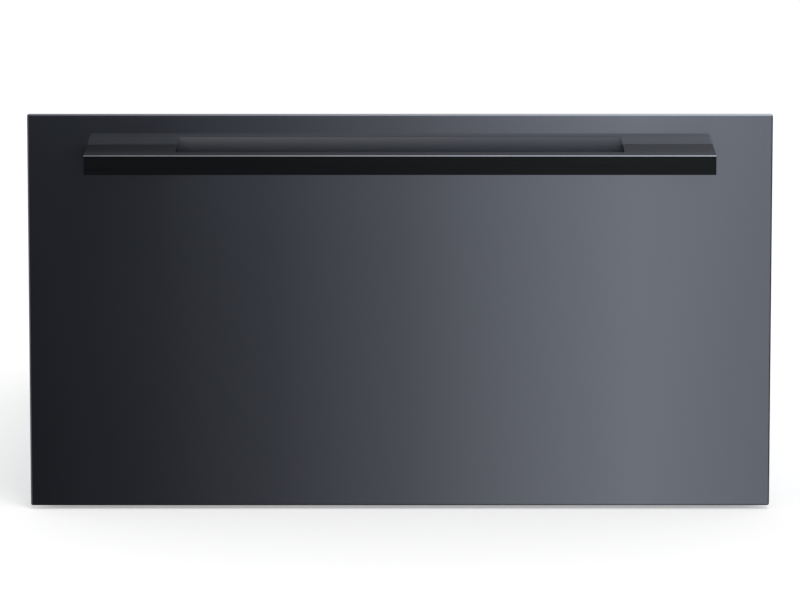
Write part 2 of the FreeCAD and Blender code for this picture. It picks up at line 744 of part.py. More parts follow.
mat = piece("anti_slip_mat")
mat_outline = block(0, tub_middle, mm.plate_width - 2 * mm.mat_inset, mm.plate_length - 2 * mm.mat_inset)
pad(mat, "Mat", "XY", [mat_outline], plate_top, mm.mat_thickness)

tub_screws = piece("tub_screws")
for name, side in SIDES.items():
    shanks, heads = at_rail_screws(mm.rail_screw / 2), at_rail_screws(mm.screw_head / 2)
    pad_between(tub_screws, f"{name.title()}Shanks", shanks, side, tub_inside, tub_side + mm.rail_web)
    pad_between(tub_screws, f"{name.title()}Heads", heads, side, tub_inside - mm.screw_head_height, tub_inside)
shanks, heads = at_front_screws(mm.screw / 2), at_front_screws(mm.screw_head / 2)
pad(tub_screws, "FrontShanks", "XZ", shanks, liner_back - mm.liner_sheet, mm.liner_sheet + mm.tub_sheet)
pad(tub_screws, "FrontHeads", "XZ", heads, liner_back + mm.tub_sheet, mm.screw_head_height)

# Casing: base, sides, stepped top cover, back panel and the ceiling plate over the tub

base_fold_start = flange_back + mm.casing_sheet
base_fold_end = join_front - mm.casing_sheet
ceiling_end = join_front - mm.casing_sheet
foot_places = [
    (side * (casing_side - mm.foot_inset), along)
    for side in SIDES.values()
    for along in (flange_front + mm.foot_front, casing_back - mm.foot_rear)
]


def at_feet(outline, radius):
    return [outline(across, along, radius) for across, along in foot_places]


def side_screw_places():
    """Screws through the casing's sides, by the piece whose flange they hold."""
    low = base_top + mm.fold / 2
    return {
        "base": [(flange_back + mm.fold * 2, low), (join_front - mm.fold * 2, low)],
        "back": [(join_front + mm.fold / 2, mm.ceiling_height * share) for share in (0.25, 0.75)],
        "ceiling": [((fascia_back + join_front) / 2, ceiling_under - mm.fold / 2)],
        "cover": [
            (flange_back + mm.fold * 5, cover_under - mm.small_fold / 2),
            (join_front - mm.fold * 6, rear_under - mm.small_fold / 2),
        ],
    }


def at_side_screws(radius, *held):
    """Hexagons at the side screws that hold the named pieces, or at all of them."""
    places = side_screw_places()
    return [hexagon(along, height, radius) for name in held or places for along, height in places[name]]


base = piece("base_pan")
base_section = folded(
    [(casing_back, casing_bottom), (flange_front, casing_bottom), (flange_front, casing_bottom + mm.lip_height)],
    -mm.casing_sheet,
)
pad(base, "Sheet", "YZ", [base_section], -inner_side, 2 * inner_side)
for name, side in SIDES.items():
    fold_outline = rectangle(base_fold_start, base_top, base_fold_end, base_top + mm.fold)
    pad_between(base, f"{name.title()}Fold", [fold_outline], side, fold_side, inner_side)
    cut_between(base, f"{name.title()}Holes", at_side_screws(screw_hole, "base"), side, fold_side, inner_side)
cut(base, "FootHoles", "XY", at_feet(hexagon, screw_hole), casing_bottom, mm.casing_sheet)

niche_place = casing_side + mm.flange_width - mm.niche_hole_edge
side_outline = [
    (flange_front, casing_bottom), (casing_back, casing_bottom), (casing_back, rear_top),
    (step_back, rear_top), (step_back, casing_top), (flange_front, casing_top),
]
for name, side in SIDES.items():
    panel = piece(f"{name}_side_panel")
    pad_between(panel, "Sheet", [side_outline], side, inner_side, casing_side)
    flange = on_side(side, casing_side, casing_bottom, casing_side + mm.flange_width, casing_top)
    pad(panel, "Flange", "XZ", [flange], flange_front, mm.casing_sheet)
    panel_holes = at_side_screws(screw_hole) + rail_holes
    cut_between(panel, "ScrewHoles", panel_holes, side, inner_side, casing_side)
    niche_holes = [
        circle(side * niche_place, casing_bottom + height, mm.niche_hole / 2)
        for height in (mm.niche_low, mm.niche_high)
    ]
    cut(panel, "NicheHoles", "XZ", niche_holes, flange_front, mm.casing_sheet)

cover = piece("top_cover")
cover_section = folded(
    [(flange_front, casing_top - mm.lip_height), (flange_front, casing_top), (step_back, casing_top),
     (step_back, rear_top), (casing_back, rear_top)],
    -mm.casing_sheet,
)
pad(cover, "Sheet", "YZ", [cover_section], -inner_side, 2 * inner_side)
front_fold = rectangle(flange_back, cover_under - mm.small_fold, step_back - mm.casing_sheet, cover_under)
rear_fold = rectangle(step_back, rear_under - mm.small_fold, join_front - mm.casing_sheet, rear_under)
for name, side in SIDES.items():
    pad_between(cover, f"{name.title()}Folds", [front_fold, rear_fold], side, fold_side, inner_side)
    cut_between(cover, f"{name.title()}Holes", at_side_screws(screw_hole, "cover"), side, fold_side, inner_side)

back = piece("back_panel")
back_outline = rectangle(-inner_side, base_top, inner_side, rear_under)
pad(back, "Sheet", "XZ", [back_outline], panel_front, mm.casing_sheet)
for name, side in SIDES.items():
    fold_outline = rectangle(join_front, base_top, panel_front, rear_under)
    pad_between(back, f"{name.title()}Fold", [fold_outline], side, fold_side, inner_side)
    cut_between(back, f"{name.title()}Holes", at_side_screws(screw_hole, "back"), side, fold_side, inner_side)
foot_fold = rectangle(-fold_side, join_front, fold_side, panel_front)
pad(back, "BaseFold", "XY", [foot_fold], base_top, mm.casing_sheet)
inlet_opening = block(
    mm.inlet_place, mm.inlet_height, mm.inlet_width + mm.nest_fit, mm.inlet_tall + mm.nest_fit
)
vents = [
    block(0, mm.fan_height + row * mm.slot_pitch, mm.slot_length * 2, mm.slot_height)
    for row in (-1.5, -0.5, 0.5, 1.5)
]
cut(back, "Openings", "XZ", [inlet_opening] + vents, panel_front, mm.casing_sheet)

ceiling = piece("ceiling_plate")
ceiling_outline = rectangle(-inner_side, fascia_front, inner_side, ceiling_end)
pad(ceiling, "Sheet", "XY", [ceiling_outline], ceiling_under, mm.casing_sheet)
for name, side in SIDES.items():
    fold_outline = rectangle(fascia_front, ceiling_under - mm.fold, ceiling_end, ceiling_under)
    pad_between(ceiling, f"{name.title()}Fold", [fold_outline], side, fold_side, inner_side)
    holes = at_side_screws(screw_hole, "ceiling")
    cut_between(ceiling, f"{name.title()}Hole", holes, side, fold_side, inner_side)

tray_front = fascia_back + mm.switch_depth + mm.fold / 2
tray_back = tray_front + mm.tray_length
blanket = piece("ceiling_insulation")
blanket_side = fold_side - mm.screw_reach - mm.soft_fit
blanket_outline = rectangle(-blanket_side, tray_back + mm.fold / 2, blanket_side, ceiling_end - mm.soft_fit)
blanket_height = rear_under - mm.ceiling_height - mm.soft_fit
pad(blanket, "Blanket", "XY", [blanket_outline], mm.ceiling_height, blanket_height)

casing_screws = piece("casing_screws")
runner_screws = piece("runner_screws")
for name, side in SIDES.items():
    tip = fold_side - mm.screw_reach
    title = name.title()
    pad_between(casing_screws, f"{title}Shanks", at_side_screws(mm.screw / 2), side, tip, casing_side)
    head_end = casing_side + mm.screw_head_height
    pad_between(casing_screws, f"{title}Heads", at_side_screws(mm.screw_head / 2), side, casing_side, head_end)
    shanks, heads = at_rail_screws(mm.rail_screw / 2), at_rail_screws(mm.screw_head / 2)
    pad_between(runner_screws, f"{title}Shanks", shanks, side, inner_side - mm.rail_web, casing_side)
    pad_between(runner_screws, f"{title}Heads", heads, side, casing_side, head_end)

foot_recess = mm.foot_height / 2
feet = piece("rubber_feet")
pad(feet, "Feet", "XY", at_feet(circle, mm.foot_radius), 0, mm.foot_height)
cut(feet, "Recesses", "XY", at_feet(hexagon, mm.screw_head / 2 + mm.hole_slack), 0, foot_recess)
cut(feet, "ScrewHoles", "XY", at_feet(hexagon, screw_hole), foot_recess, mm.foot_height - foot_recess)

foot_screws = piece("foot_screws")
head_low = foot_recess - mm.screw_head_height
shank_high = base_top + mm.screw_reach
pad(foot_screws, "Shanks", "XY", at_feet(hexagon, mm.screw / 2), foot_recess, shank_high - foot_recess)
pad(foot_screws, "Heads", "XY", at_feet(hexagon, mm.screw_head / 2), head_low, mm.screw_head_height)

# Controls: a recessed fascia over the tub with a knob, a power button and an indicator lens

knob_front = fascia_front - mm.knob_gap - mm.knob_depth
knob_back = fascia_front - mm.knob_gap
button_back = fascia_back + mm.button_slack + mm.button_travel * 2
button_way = 2 * mm.button_slack
fascia_side = fold_side - mm.nest_fit


def button_block(width, height):
    return block(mm.button_place, controls_height, width, height)


fascia = piece("control_fascia")
fascia_section = folded(
    [(fascia_back + mm.fold, mm.ceiling_height), (fascia_front, mm.ceiling_height), (fascia_front, cover_under),
     (fascia_back + mm.fold, cover_under)],
    -mm.casing_sheet,
)
pad(fascia, "Sheet", "YZ", [fascia_section], -fascia_side, 2 * fascia_side)
spindle_opening = hexagon(mm.knob_place, controls_height, mm.spindle_radius + 2 * mm.shaft_slack)
lens_opening = circle(mm.lens_place, controls_height, mm.lens_radius + mm.hole_slack)
button_opening = button_block(mm.button_width + button_way, mm.button_height + button_way)
fascia_openings = [spindle_opening, lens_opening, button_opening]
cut(fascia, "Openings", "XZ", fascia_openings, fascia_front, mm.casing_sheet)

knob = piece("selector_knob")
bore_start = knob_back - mm.knob_depth * 2 / 3
knob_section = [
    (0, knob_front), (mm.knob_radius - mm.knob_edge, knob_front), (mm.knob_radius, knob_front + mm.knob_edge),
    (mm.knob_radius, knob_back), (0, knob_back),
]
turned = knob.newObject("PartDesign::Revolution", "Turned")
turned.Profile = sketch(knob, "Turned", "XY", [knob_section], 0)
turned.ReferenceAxis = (turned.Profile[0], ["V_Axis"])
turned.Angle = 360
cut(knob, "Bore", "XZ", [circle(0, 0, mm.spindle_radius)], bore_start, knob_back - bore_start)
pointer = block(0, mm.knob_radius * 0.6, mm.knob_edge, mm.knob_radius * 0.5)
cut(knob, "Pointer", "XZ", [pointer], knob_front, mm.knob_edge / 2)
set_on_axis(knob, mm.knob_place, controls_height)

spindle = piece("selector_spindle")
spindle_end = fascia_back + mm.spindle_reach
pad(spindle, "Spindle", "XZ", [circle(0, 0, mm.spindle_radius)], bore_start, spindle_end - bore_start)
set_on_axis(spindle, mm.knob_place, controls_height)

selector = piece("selector_switch")
selector_outline = block(mm.knob_place, controls_height, mm.switch_width, mm.switch_width)
pad(selector, "Body", "XZ", [selector_outline], fascia_back, mm.switch_depth)
spindle_bore = circle(mm.knob_place, controls_height, mm.spindle_radius + mm.shaft_slack)
cut(selector, "Bore", "XZ", [spindle_bore], fascia_back, mm.spindle_reach + mm.shaft_slack)


button = piece("power_button")
button_front = fascia_front - mm.button_proud
stem_start = button_back - mm.button_travel
stem = mm.button_height / 3
cap = button_block(mm.button_width, mm.button_height)
pad(button, "Cap", "XZ", [cap], button_front, stem_start - button_front)
bevel(button, "SoftEdges", [button_front], mm.bar_edge)
pad(button, "Stem", "XZ", [button_block(stem, stem)], stem_start, mm.switch_depth / 2)

power = piece("power_switch")
power_outline = button_block(mm.button_width + 2 * mm.switch_rim, mm.button_height + 2 * mm.switch_rim)
pad(power, "Body", "XZ", [power_outline], fascia_back, mm.switch_depth)
cut(power, "Window", "XZ", [button_opening], fascia_back, button_back + mm.button_slack - fascia_back)
stem_opening = button_block(stem + button_way, stem + button_way)
cut(power, "StemBore", "XZ", [stem_opening], fascia_back, mm.switch_depth - mm.tray_wall)

lens = piece("indicator_lens")
lens_front = fascia_front - mm.lens_proud
lens_back = fascia_back + mm.lens_radius
lens_round = circle(mm.lens_place, controls_height, mm.lens_radius)
pad(lens, "Lens", "XZ", [lens_round], lens_front, lens_back - lens_front)

tray_right = fold_side - mm.fold
tray_left = tray_right - mm.tray_width
board_low = mm.ceiling_height + mm.tray_height / 3

tray = piece("control_tray")
tray_outline = rectangle(tray_left, tray_front, tray_right, tray_back)
pad(tray, "Tray", "XY", [tray_outline], mm.ceiling_height, mm.tray_height)
tray_inside = rectangle(
    tray_left + mm.tray_wall, tray_front + mm.tray_wall, tray_right - mm.tray_wall, tray_back - mm.tray_wall
)
cut(tray, "Inside", "XY", [tray_inside], mm.ceiling_height + mm.tray_wall, mm.tray_height - mm.tray_wall)
post_inset = 4 * mm.tray_wall
posts = [
    block(across, along, mm.tray_wall * 2, mm.tray_wall * 2)
    for across in (tray_left + post_inset, tray_right - post_inset)
    for along in (tray_front + post_inset, tray_back - post_inset)
]
post_height = board_low - mm.ceiling_height - mm.tray_wall
pad(tray, "Posts", "XY", posts, mm.ceiling_height + mm.tray_wall, post_height)

board = piece("control_board")
board_inset = mm.tray_wall + mm.soft_fit
board_outline = rectangle(
    tray_left + board_inset, tray_front + board_inset, tray_right - board_inset, tray_back - board_inset
)
board_top = board_low + mm.board_thickness
board_middle = (tray_front + tray_back) / 2
pad(board, "Board", "XY", [board_outline], board_low, mm.board_thickness)
transformer = block(tray_left + mm.tray_length / 2, board_middle, mm.tray_length / 2, mm.tray_length * 0.4)
relays = [
    block(tray_right - mm.tray_length * share, board_middle, mm.tray_length / 5, mm.tray_length * 0.3)
    for share in (0.3, 0.6)
]
capacitors = [
    hexagon((tray_left + tray_right) / 2 + step * mm.tray_length / 10, board_middle, mm.tray_length / 14)
    for step in (LEFT, RIGHT)
]
pad(board, "Transformer", "XY", [transformer], board_top, mm.tray_height * 0.7)
pad(board, "Relays", "XY", relays, board_top, mm.tray_height * 0.5)
pad(board, "Capacitors", "XY", capacitors, board_top, mm.tray_height * 0.6)

# Air and heat: baffle, fan chamber, fan, motor, element and its guards

baffle_side = tub_side - mm.baffle_inset
long_leg = mm.element_width / 2
short_leg = long_leg - mm.element_ends
element_middle = mm.reflector_height + mm.element_radius + mm.soft_fit

baffle = piece("rear_baffle")
baffle_section = folded(
    [(baffle_front + mm.fold, base_top), (baffle_front, base_top), (baffle_front, ceiling_under),
     (baffle_front + mm.fold, ceiling_under)],
    -mm.baffle_sheet,
)
pad(baffle, "Sheet", "YZ", [baffle_section], -baffle_side, 2 * baffle_side)
cut(baffle, "AirSlots", "XZ", air_slots(), baffle_front, mm.baffle_sheet)
notch_half = mm.element_radius + mm.baffle_gap / 2
notches = [
    rectangle(across - notch_half, base_top, across + notch_half, element_middle + notch_half)
    for across in (long_leg, short_leg)
]
cut(baffle, "ElementNotches", "XZ", notches, baffle_front, mm.fold)

buffers = piece("tub_buffers")
buffer_outlines = [
    hexagon(side * (baffle_side - 3 * mm.buffer_radius), height, mm.buffer_radius)
    for side in SIDES.values()
    for height in (tub_floor + 3 * mm.buffer_radius, tub_top - 3 * mm.buffer_radius)
]
pad(buffers, "Buffers", "XZ", buffer_outlines, tub_back + mm.soft_fit, mm.baffle_gap - mm.soft_fit)

chamber = piece("fan_chamber")


def chamber_block(margin):
    return block(0, mm.fan_height, mm.chamber_width + 2 * margin, mm.chamber_height + 2 * margin)


pad(chamber, "Pan", "XZ", [chamber_block(0)], baffle_back, mm.chamber_depth)
chamber_inside = chamber_block(-mm.baffle_sheet)
cut(chamber, "Inside", "XZ", [chamber_inside], baffle_back, mm.chamber_depth - mm.baffle_sheet)
pad(chamber, "Rim", "XZ", [chamber_block(mm.fold / 2), chamber_inside], baffle_back, mm.baffle_sheet)
sensor_place = mm.chamber_width / 2 - 4 * mm.buffer_radius
sensor_radius = mm.element_radius * 0.6
chamber_holes = [
    hexagon(0, mm.fan_height, mm.shaft_radius + 2 * mm.shaft_slack),
    hexagon(-sensor_place, mm.fan_height, sensor_radius + mm.hole_slack),
]
cut(chamber, "Holes", "XZ", chamber_holes, chamber_back - mm.baffle_sheet, mm.baffle_sheet)

fan_front = baffle_back + mm.fan_gap
fan_back = fan_front + mm.fan_depth
FAN_BLADES = 12
fan = piece("fan_wheel")
disc = polygon(0, 0, mm.fan_radius, FAN_BLADES)
hub_bore = circle(0, 0, mm.shaft_radius)
pad(fan, "Disc", "XZ", [disc, hub_bore], fan_back - mm.blade, mm.blade)
hub_outlines = [circle(0, 0, mm.hub_radius), hub_bore]
pad(fan, "Hub", "XZ", hub_outlines, fan_front, mm.fan_depth - mm.blade)
blade_outline = rectangle(-mm.blade / 2, mm.fan_radius * 0.5, mm.blade / 2, mm.fan_radius - mm.blade)
blade = pad(fan, "Blade", "XZ", [blade_outline], fan_front, mm.fan_depth - mm.blade)
doc.recompute()
blades = fan.newObject("PartDesign::PolarPattern", "Blades")
blades.Originals = [blade]
blades.Axis = (next(item for item in fan.Origin.OriginFeatures if item.Role == "Y_Axis"), [""])
blades.Occurrences = FAN_BLADES
fan.Tip = blades
set_on_axis(fan, 0, mm.fan_height)

shaft = piece("fan_shaft")
shaft_start = fan_front + mm.fan_depth / 3
bearing_reach = mm.motor_gap * 0.8
pad(shaft, "Shaft", "XZ", [circle(0, 0, mm.shaft_radius)], shaft_start,
    motor_back + bearing_reach - shaft_start)
set_on_axis(shaft, 0, mm.fan_height)

motor = piece("fan_motor")
core = block(0, mm.fan_height, mm.motor_width, mm.motor_height)
pad(motor, "Core", "XZ", [core], motor_front, mm.motor_depth)
coil = block(0, mm.fan_height - mm.motor_height / 2 - mm.fold, mm.motor_width * 0.55, 2 * mm.fold)
pad(motor, "Coil", "XZ", [coil], motor_front - mm.motor_gap / 2, mm.motor_depth + mm.motor_gap)
bearing = block(0, mm.fan_height, 2 * mm.hub_radius, 2 * mm.hub_radius)
pad(motor, "Bearings", "XZ", [bearing], motor_front - bearing_reach, mm.motor_depth + 2 * bearing_reach)
cut(motor, "Bore", "XZ", [circle(0, mm.fan_height, mm.shaft_radius + mm.shaft_slack)],
    motor_front - bearing_reach, mm.motor_depth + 2 * bearing_reach)

spacers = piece("motor_spacers")
spacer_outlines = [
    hexagon(side * mm.motor_width * 0.4, mm.fan_height + step * mm.motor_height * 0.35, mm.motor_gap / 2)
    for side in SIDES.values()
    for step in (LEFT, RIGHT)
]
pad(spacers, "Spacers", "XZ", spacer_outlines, chamber_back, mm.motor_gap)

sensor = piece("temperature_sensor")
sensor_probe = hexagon(-sensor_place, mm.fan_height, sensor_radius)
pad(sensor, "Probe", "XZ", [sensor_probe], chamber_back - mm.chamber_depth / 2, mm.chamber_depth / 2)
sensor_head = block(-sensor_place, mm.fan_height, mm.fold, mm.small_fold)
pad(sensor, "Head", "XZ", [sensor_head], chamber_back, mm.small_fold)

cutout = piece("thermal_cutout")
cutout_flange = block(sensor_place, mm.fan_height, 2 * mm.fold, mm.fold)
pad(cutout, "Flange", "XZ", [cutout_flange], chamber_back, mm.casing_sheet)
pad(cutout, "Can", "XZ", [hexagon(sensor_place, mm.fan_height, mm.small_fold)], chamber_back, mm.small_fold)

reflector_start = flange_front + mm.reflector_front
reflector = piece("heat_reflector")
reflector_half = mm.reflector_width / 2
reflector_under = mm.reflector_height - mm.liner_sheet
reflector_section = folded(
    [(-reflector_half - mm.small_fold, base_top), (-reflector_half, base_top),
     (-reflector_half, reflector_under), (reflector_half, reflector_under), (reflector_half, base_top),
     (reflector_half + mm.small_fold, base_top)],
    mm.liner_sheet,
)
pad(reflector, "Sheet", "XZ", [reflector_section], reflector_start, mm.reflector_length)

loop_front = reflector_start + (mm.reflector_length - mm.element_length) / 2
loop_back = loop_front + mm.element_length
turn_side = long_leg - mm.element_bend
turn_front = loop_front + mm.element_bend
turn_back = loop_back - mm.element_bend
last_turn = short_leg - mm.element_bend
last_back = loop_back + mm.element_bend
element_end = baffle_back + mm.fold
element_route = [
    (long_leg, element_end),
    (long_leg, turn_front, (turn_side, turn_front), CLOCKWISE),
    (turn_side, loop_front),
    (-turn_side, loop_front, (-turn_side, turn_front), CLOCKWISE),
    (-long_leg, turn_front),
    (-long_leg, turn_back, (-turn_side, turn_back), CLOCKWISE),
    (-turn_side, loop_back),
    (last_turn, loop_back, (last_turn, last_back)),
    (short_leg, last_back),
    (short_leg, element_end),
]
element = piece("heating_element")
element_path = sketch(element, "Path", "XY", [], element_middle)
draw(element_path, element_route, closed=False)
tube = element.newObject("PartDesign::AdditivePipe", "Tube")
tube_outline = hexagon(long_leg, element_middle, mm.element_radius)
tube.Profile = sketch(element, "Tube", "XZ", [tube_outline], element_end)
tube.Spine = (element_path, [])
terminals = [block(across, element_middle, mm.blade, mm.element_radius) for across in (long_leg, short_leg)]
pad(element, "Terminals", "XZ", terminals, element_end, mm.fold)

clips = piece("element_clips")
clip_in = mm.element_radius + mm.hole_slack
clip_out = clip_in + mm.clip_wall
clip_under = element_middle + clip_in
clip_outlines = [
    [
        (along - clip_out, mm.reflector_height), (along - clip_in, mm.reflector_height),
        (along - clip_in, clip_under), (along + clip_in, clip_under),
        (along + clip_in, mm.reflector_height), (along + clip_out, mm.reflector_height),
        (along + clip_out, clip_under + mm.clip_wall), (along - clip_out, clip_under + mm.clip_wall),
    ]
    for along in (loop_front, loop_back)
]
for name, across in (("Left", -turn_side), ("Right", last_turn - mm.clip_length)):
    pad(clips, f"{name}Clips", "YZ", clip_outlines, across, mm.clip_length)

# Mains connection

TERMINALS = 4
terminal_block = piece("terminal_block")
terminal_right = mm.inlet_place - 2 * mm.fold
terminal_left = terminal_right - TERMINALS * mm.fold
terminal_outline = rectangle(terminal_left, join_front - 3 * mm.fold, terminal_right, join_front - mm.fold)
pad(terminal_block, "Block", "XY", [terminal_outline], base_top, 1.5 * mm.fold)
wells = [
    hexagon(terminal_left + mm.fold * (number + 0.5), join_front - 2 * mm.fold, mm.fold / 3)
    for number in range(TERMINALS)
]
cut(terminal_block, "Wells", "XY", wells, base_top + mm.fold, mm.fold / 2)

inlet = piece("mains_inlet")


def inlet_block(margin):
    return block(mm.inlet_place, mm.inlet_height, mm.inlet_width + 2 * margin, mm.inlet_tall + 2 * margin)


inlet_back = panel_back + mm.inlet_flange
socket_front = panel_back - mm.inlet_depth + mm.inlet_wall
pad(inlet, "Body", "XZ", [inlet_block(0)], panel_back - mm.inlet_depth, mm.inlet_depth)
pad(inlet, "Flange", "XZ", [inlet_block(mm.inlet_flange)], panel_back, mm.inlet_flange)
cut(inlet, "Socket", "XZ", [inlet_block(-mm.inlet_wall)], socket_front, inlet_back - socket_front)
pins = [
    block(mm.inlet_place + across * mm.inlet_width / 4, mm.inlet_height + up * mm.inlet_tall / 8, mm.inlet_wall,
          2 * mm.inlet_wall)
    for across, up in ((-1, -1), (0, 1), (1, -1))
]
pad(inlet, "Pins", "XZ", pins, socket_front, mm.inlet_depth * 0.75)

# Every object is checked before anything is written

doc.recompute()
for thing in doc.Objects:
    if "Invalid" in thing.State or "Error" in thing.State:
        raise RuntimeError(f"{thing.Label} failed: {thing.State}")
for feature in cuts:
    if feature.BaseFeature.Shape.Volume - feature.Shape.Volume < 1e-6:
        raise RuntimeError(f"{feature.Label} cuts nothing")
parts = [thing for thing in doc.Objects if thing.TypeId == "PartDesign::Body"]
for part in parts:
    if part.Shape.isNull() or not part.Shape.isValid():
        raise RuntimeError(f"{part.Label} has no valid shape")

os.makedirs("parts", exist_ok=True)
for part in parts:
    part.Shape.exportStep(f"parts/{part.Label}.step")
print(len(parts), "parts")
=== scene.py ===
"""Looks of a built-in warming drawer: finishes, finer pieces, stage and camera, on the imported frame."""

import json
import math

import bmesh
import bpy
from bpy.props import FloatProperty, FloatVectorProperty, PointerProperty
from mathutils import Matrix, Vector

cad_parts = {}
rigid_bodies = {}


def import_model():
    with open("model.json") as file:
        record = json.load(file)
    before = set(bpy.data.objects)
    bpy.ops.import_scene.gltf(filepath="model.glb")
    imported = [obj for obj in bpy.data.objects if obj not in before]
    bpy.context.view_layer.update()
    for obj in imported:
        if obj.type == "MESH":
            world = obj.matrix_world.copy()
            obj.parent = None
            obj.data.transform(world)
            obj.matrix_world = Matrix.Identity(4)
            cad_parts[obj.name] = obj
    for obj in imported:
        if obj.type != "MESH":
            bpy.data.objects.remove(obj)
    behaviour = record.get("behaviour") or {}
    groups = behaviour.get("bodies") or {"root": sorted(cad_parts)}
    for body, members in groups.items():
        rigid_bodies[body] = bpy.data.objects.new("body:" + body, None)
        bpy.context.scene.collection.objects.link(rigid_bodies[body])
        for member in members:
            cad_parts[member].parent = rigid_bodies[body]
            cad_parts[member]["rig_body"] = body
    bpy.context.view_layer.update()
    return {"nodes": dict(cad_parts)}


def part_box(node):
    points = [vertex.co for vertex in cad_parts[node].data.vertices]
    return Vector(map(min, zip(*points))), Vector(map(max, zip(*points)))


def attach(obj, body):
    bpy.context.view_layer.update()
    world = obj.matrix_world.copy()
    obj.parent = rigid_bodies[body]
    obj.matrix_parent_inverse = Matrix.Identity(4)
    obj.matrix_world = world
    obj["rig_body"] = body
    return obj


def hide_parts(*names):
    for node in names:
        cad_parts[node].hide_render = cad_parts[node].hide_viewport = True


bl_info = {
    "name": "Warming Drawer Looks",
    "version": (1, 0, 0),
    "blender": (4, 5, 0),
    "location": "View3D > Sidebar > Warming Drawer",
    "description": "Dresses a built-in warming drawer with its finishes and finer pieces",
    "category": "Object",
}

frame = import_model()
# the materials made so far, by name
finishes = {}

MM = 0.001
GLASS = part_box("front_glass")
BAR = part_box("handle_bar")
INNER_REACH = 270 * MM  # a sideways screw nearer to the middle than this faces inwards
SCREW_HEAD = 1.6 * MM  # height of a screw's head
HOUSING_BLACK = (0.022, 0.022, 0.022)


# Shader graphs

class Field:
    """A shader socket that takes part in arithmetic: each operation adds its Math node."""

    def __init__(self, shader, socket):
        self.shader = shader
        self.socket = socket

    def _math(self, operation, first, second=0.0):
        return self.shader.node("ShaderNodeMath", {"operation": operation}, {0: first, 1: second})

    def __add__(self, other):
        return self._math("ADD", self, other)

    __radd__ = __add__

    def __sub__(self, other):
        return self._math("SUBTRACT", self, other)

    def __rsub__(self, other):
        return self._math("SUBTRACT", other, self)

    def __mul__(self, other):
        return self._math("MULTIPLY", self, other)

    __rmul__ = __mul__

    def __truediv__(self, other):
        return self._math("DIVIDE", self, other)

    def __gt__(self, other):
        return self._math("GREATER_THAN", self, other)

    def __lt__(self, other):
        return self._math("LESS_THAN", self, other)

    def __abs__(self):
        return self._math("ABSOLUTE", self)

    def sine(self):
        return self._math("SINE", self)

    def least(self, other):
        return self._math("MINIMUM", self, other)


class Shader:
    """The node tree of a material, or of the world where one is given."""

    def __init__(self, name, world=None):
        self.material = world or bpy.data.materials.new(name)
        self.material.use_nodes = True
        self.tree = self.material.node_tree
        self.tree.nodes.clear()

    def node(self, kind, settings=None, inputs=None, output=0):
        """Adds a node: its settings first, then the values or links of its sockets."""
        made = self.tree.nodes.new(kind)
        for name, value in (settings or {}).items():
            if name == "stops":
                self._set_stops(made.color_ramp, value)
            else:
                setattr(made, name, value)
        for name, value in (inputs or {}).items():
            if isinstance(value, Field):
                self.tree.links.new(value.socket, made.inputs[name])
            else:
                made.inputs[name].default_value = value
        return Field(self, made.outputs[output]) if made.outputs else None

    @staticmethod
    def _set_stops(ramp, stops):
        while len(ramp.elements) < len(stops):
            ramp.elements.new(1.0)
        for element, (place, colour) in zip(ramp.elements, stops):
            element.position = place
            element.color = (*colour, 1.0)

    def coordinates(self, scale=(1.0, 1.0, 1.0)):
        """Object coordinates in metres, stretched by scale."""
        place = self.node("ShaderNodeTexCoord", output="Object")
        return self.node("ShaderNodeVectorMath", {"operation": "MULTIPLY"}, {0: place, 1: scale})

    def along(self, axis):
        """One object coordinate, in metres."""
        return self.node("ShaderNodeSeparateXYZ", inputs={0: self.coordinates()}, output=axis)

    def span(self, value, start, end, low=0.0, high=1.0):
        """A value that goes from low to high between start and end, and stays there outside them."""
        return self.node("ShaderNodeMapRange", inputs={0: value, 1: start, 2: end, 3: low, 4: high})

    def noise(self, scale, detail=3.0, stretch=(1.0, 1.0, 1.0)):
        place = self.coordinates(stretch)
        return self.node("ShaderNodeTexNoise", inputs={"Vector": place, "Scale": scale, "Detail": detail})

    def cells(self, scale, randomness=1.0, output="Distance"):
        inputs = {"Vector": self.coordinates(), "Scale": scale, "Randomness": randomness}
        return self.node("ShaderNodeTexVoronoi", inputs=inputs, output=output)

    def background_rays(self):
        """1 for the rays that show the background: straight, mirrored and through glass."""
        kinds = ("Is Camera Ray", "Is Glossy Ray", "Is Transmission Ray")
        camera, mirror, glass = [self.node("ShaderNodeLightPath", output=kind) for kind in kinds]
        return (camera + mirror + glass).least(1.0)

    def blend(self, factor, first, second):
        """A colour between two colours."""
        inputs = {0: factor, 6: opaque(first), 7: opaque(second)}
        return self.node("ShaderNodeMix", {"data_type": "RGBA"}, inputs, output=2)

    def bump(self, height, depth, strength=0.5):
        inputs = {"Strength": strength, "Distance": depth, "Height": height}
        return self.node("ShaderNodeBump", inputs=inputs)

    def principled(self, colour, roughness, metallic=0.0, normal=None, **fixed):
        """Ends the graph in a Principled shader. fixed holds constants by socket name, _ for a space."""
        inputs = {"Base Color": opaque(colour), "Roughness": roughness, "Metallic": metallic}
        if normal is not None:
            inputs["Normal"] = normal
        for name, value in fixed.items():
            inputs[name.replace("_", " ")] = value
        surface = self.node("ShaderNodeBsdfPrincipled", inputs=inputs)
        self.node("ShaderNodeOutputMaterial", inputs={"Surface": surface})
        return self.material


def opaque(colour):
    """A colour with its alpha, or the socket that brings one."""
    return colour if isinstance(colour, Field) else (*colour[:3], 1.0)


def shades(colour, darker, lighter):
    """A darker and a lighter version of a colour, by their shares of it."""
    return [part * darker for part in colour], [min(1.0, part * lighter) for part in colour]


def mirror_coated_glass(name, settings):
    """Dark glass over a soft metal coat: a sharp reflection on its face and a blurred one behind it."""
    shader = Shader(name)
    film = shader.noise(5.0, 2.0)
    fixed = {"Coat_Weight": 1.0, "Coat_Roughness": 0.01, "Coat_IOR": settings.glass_index}
    return shader.principled(settings.glass_colour, 0.4 + film * 0.04, 1.0, **fixed)


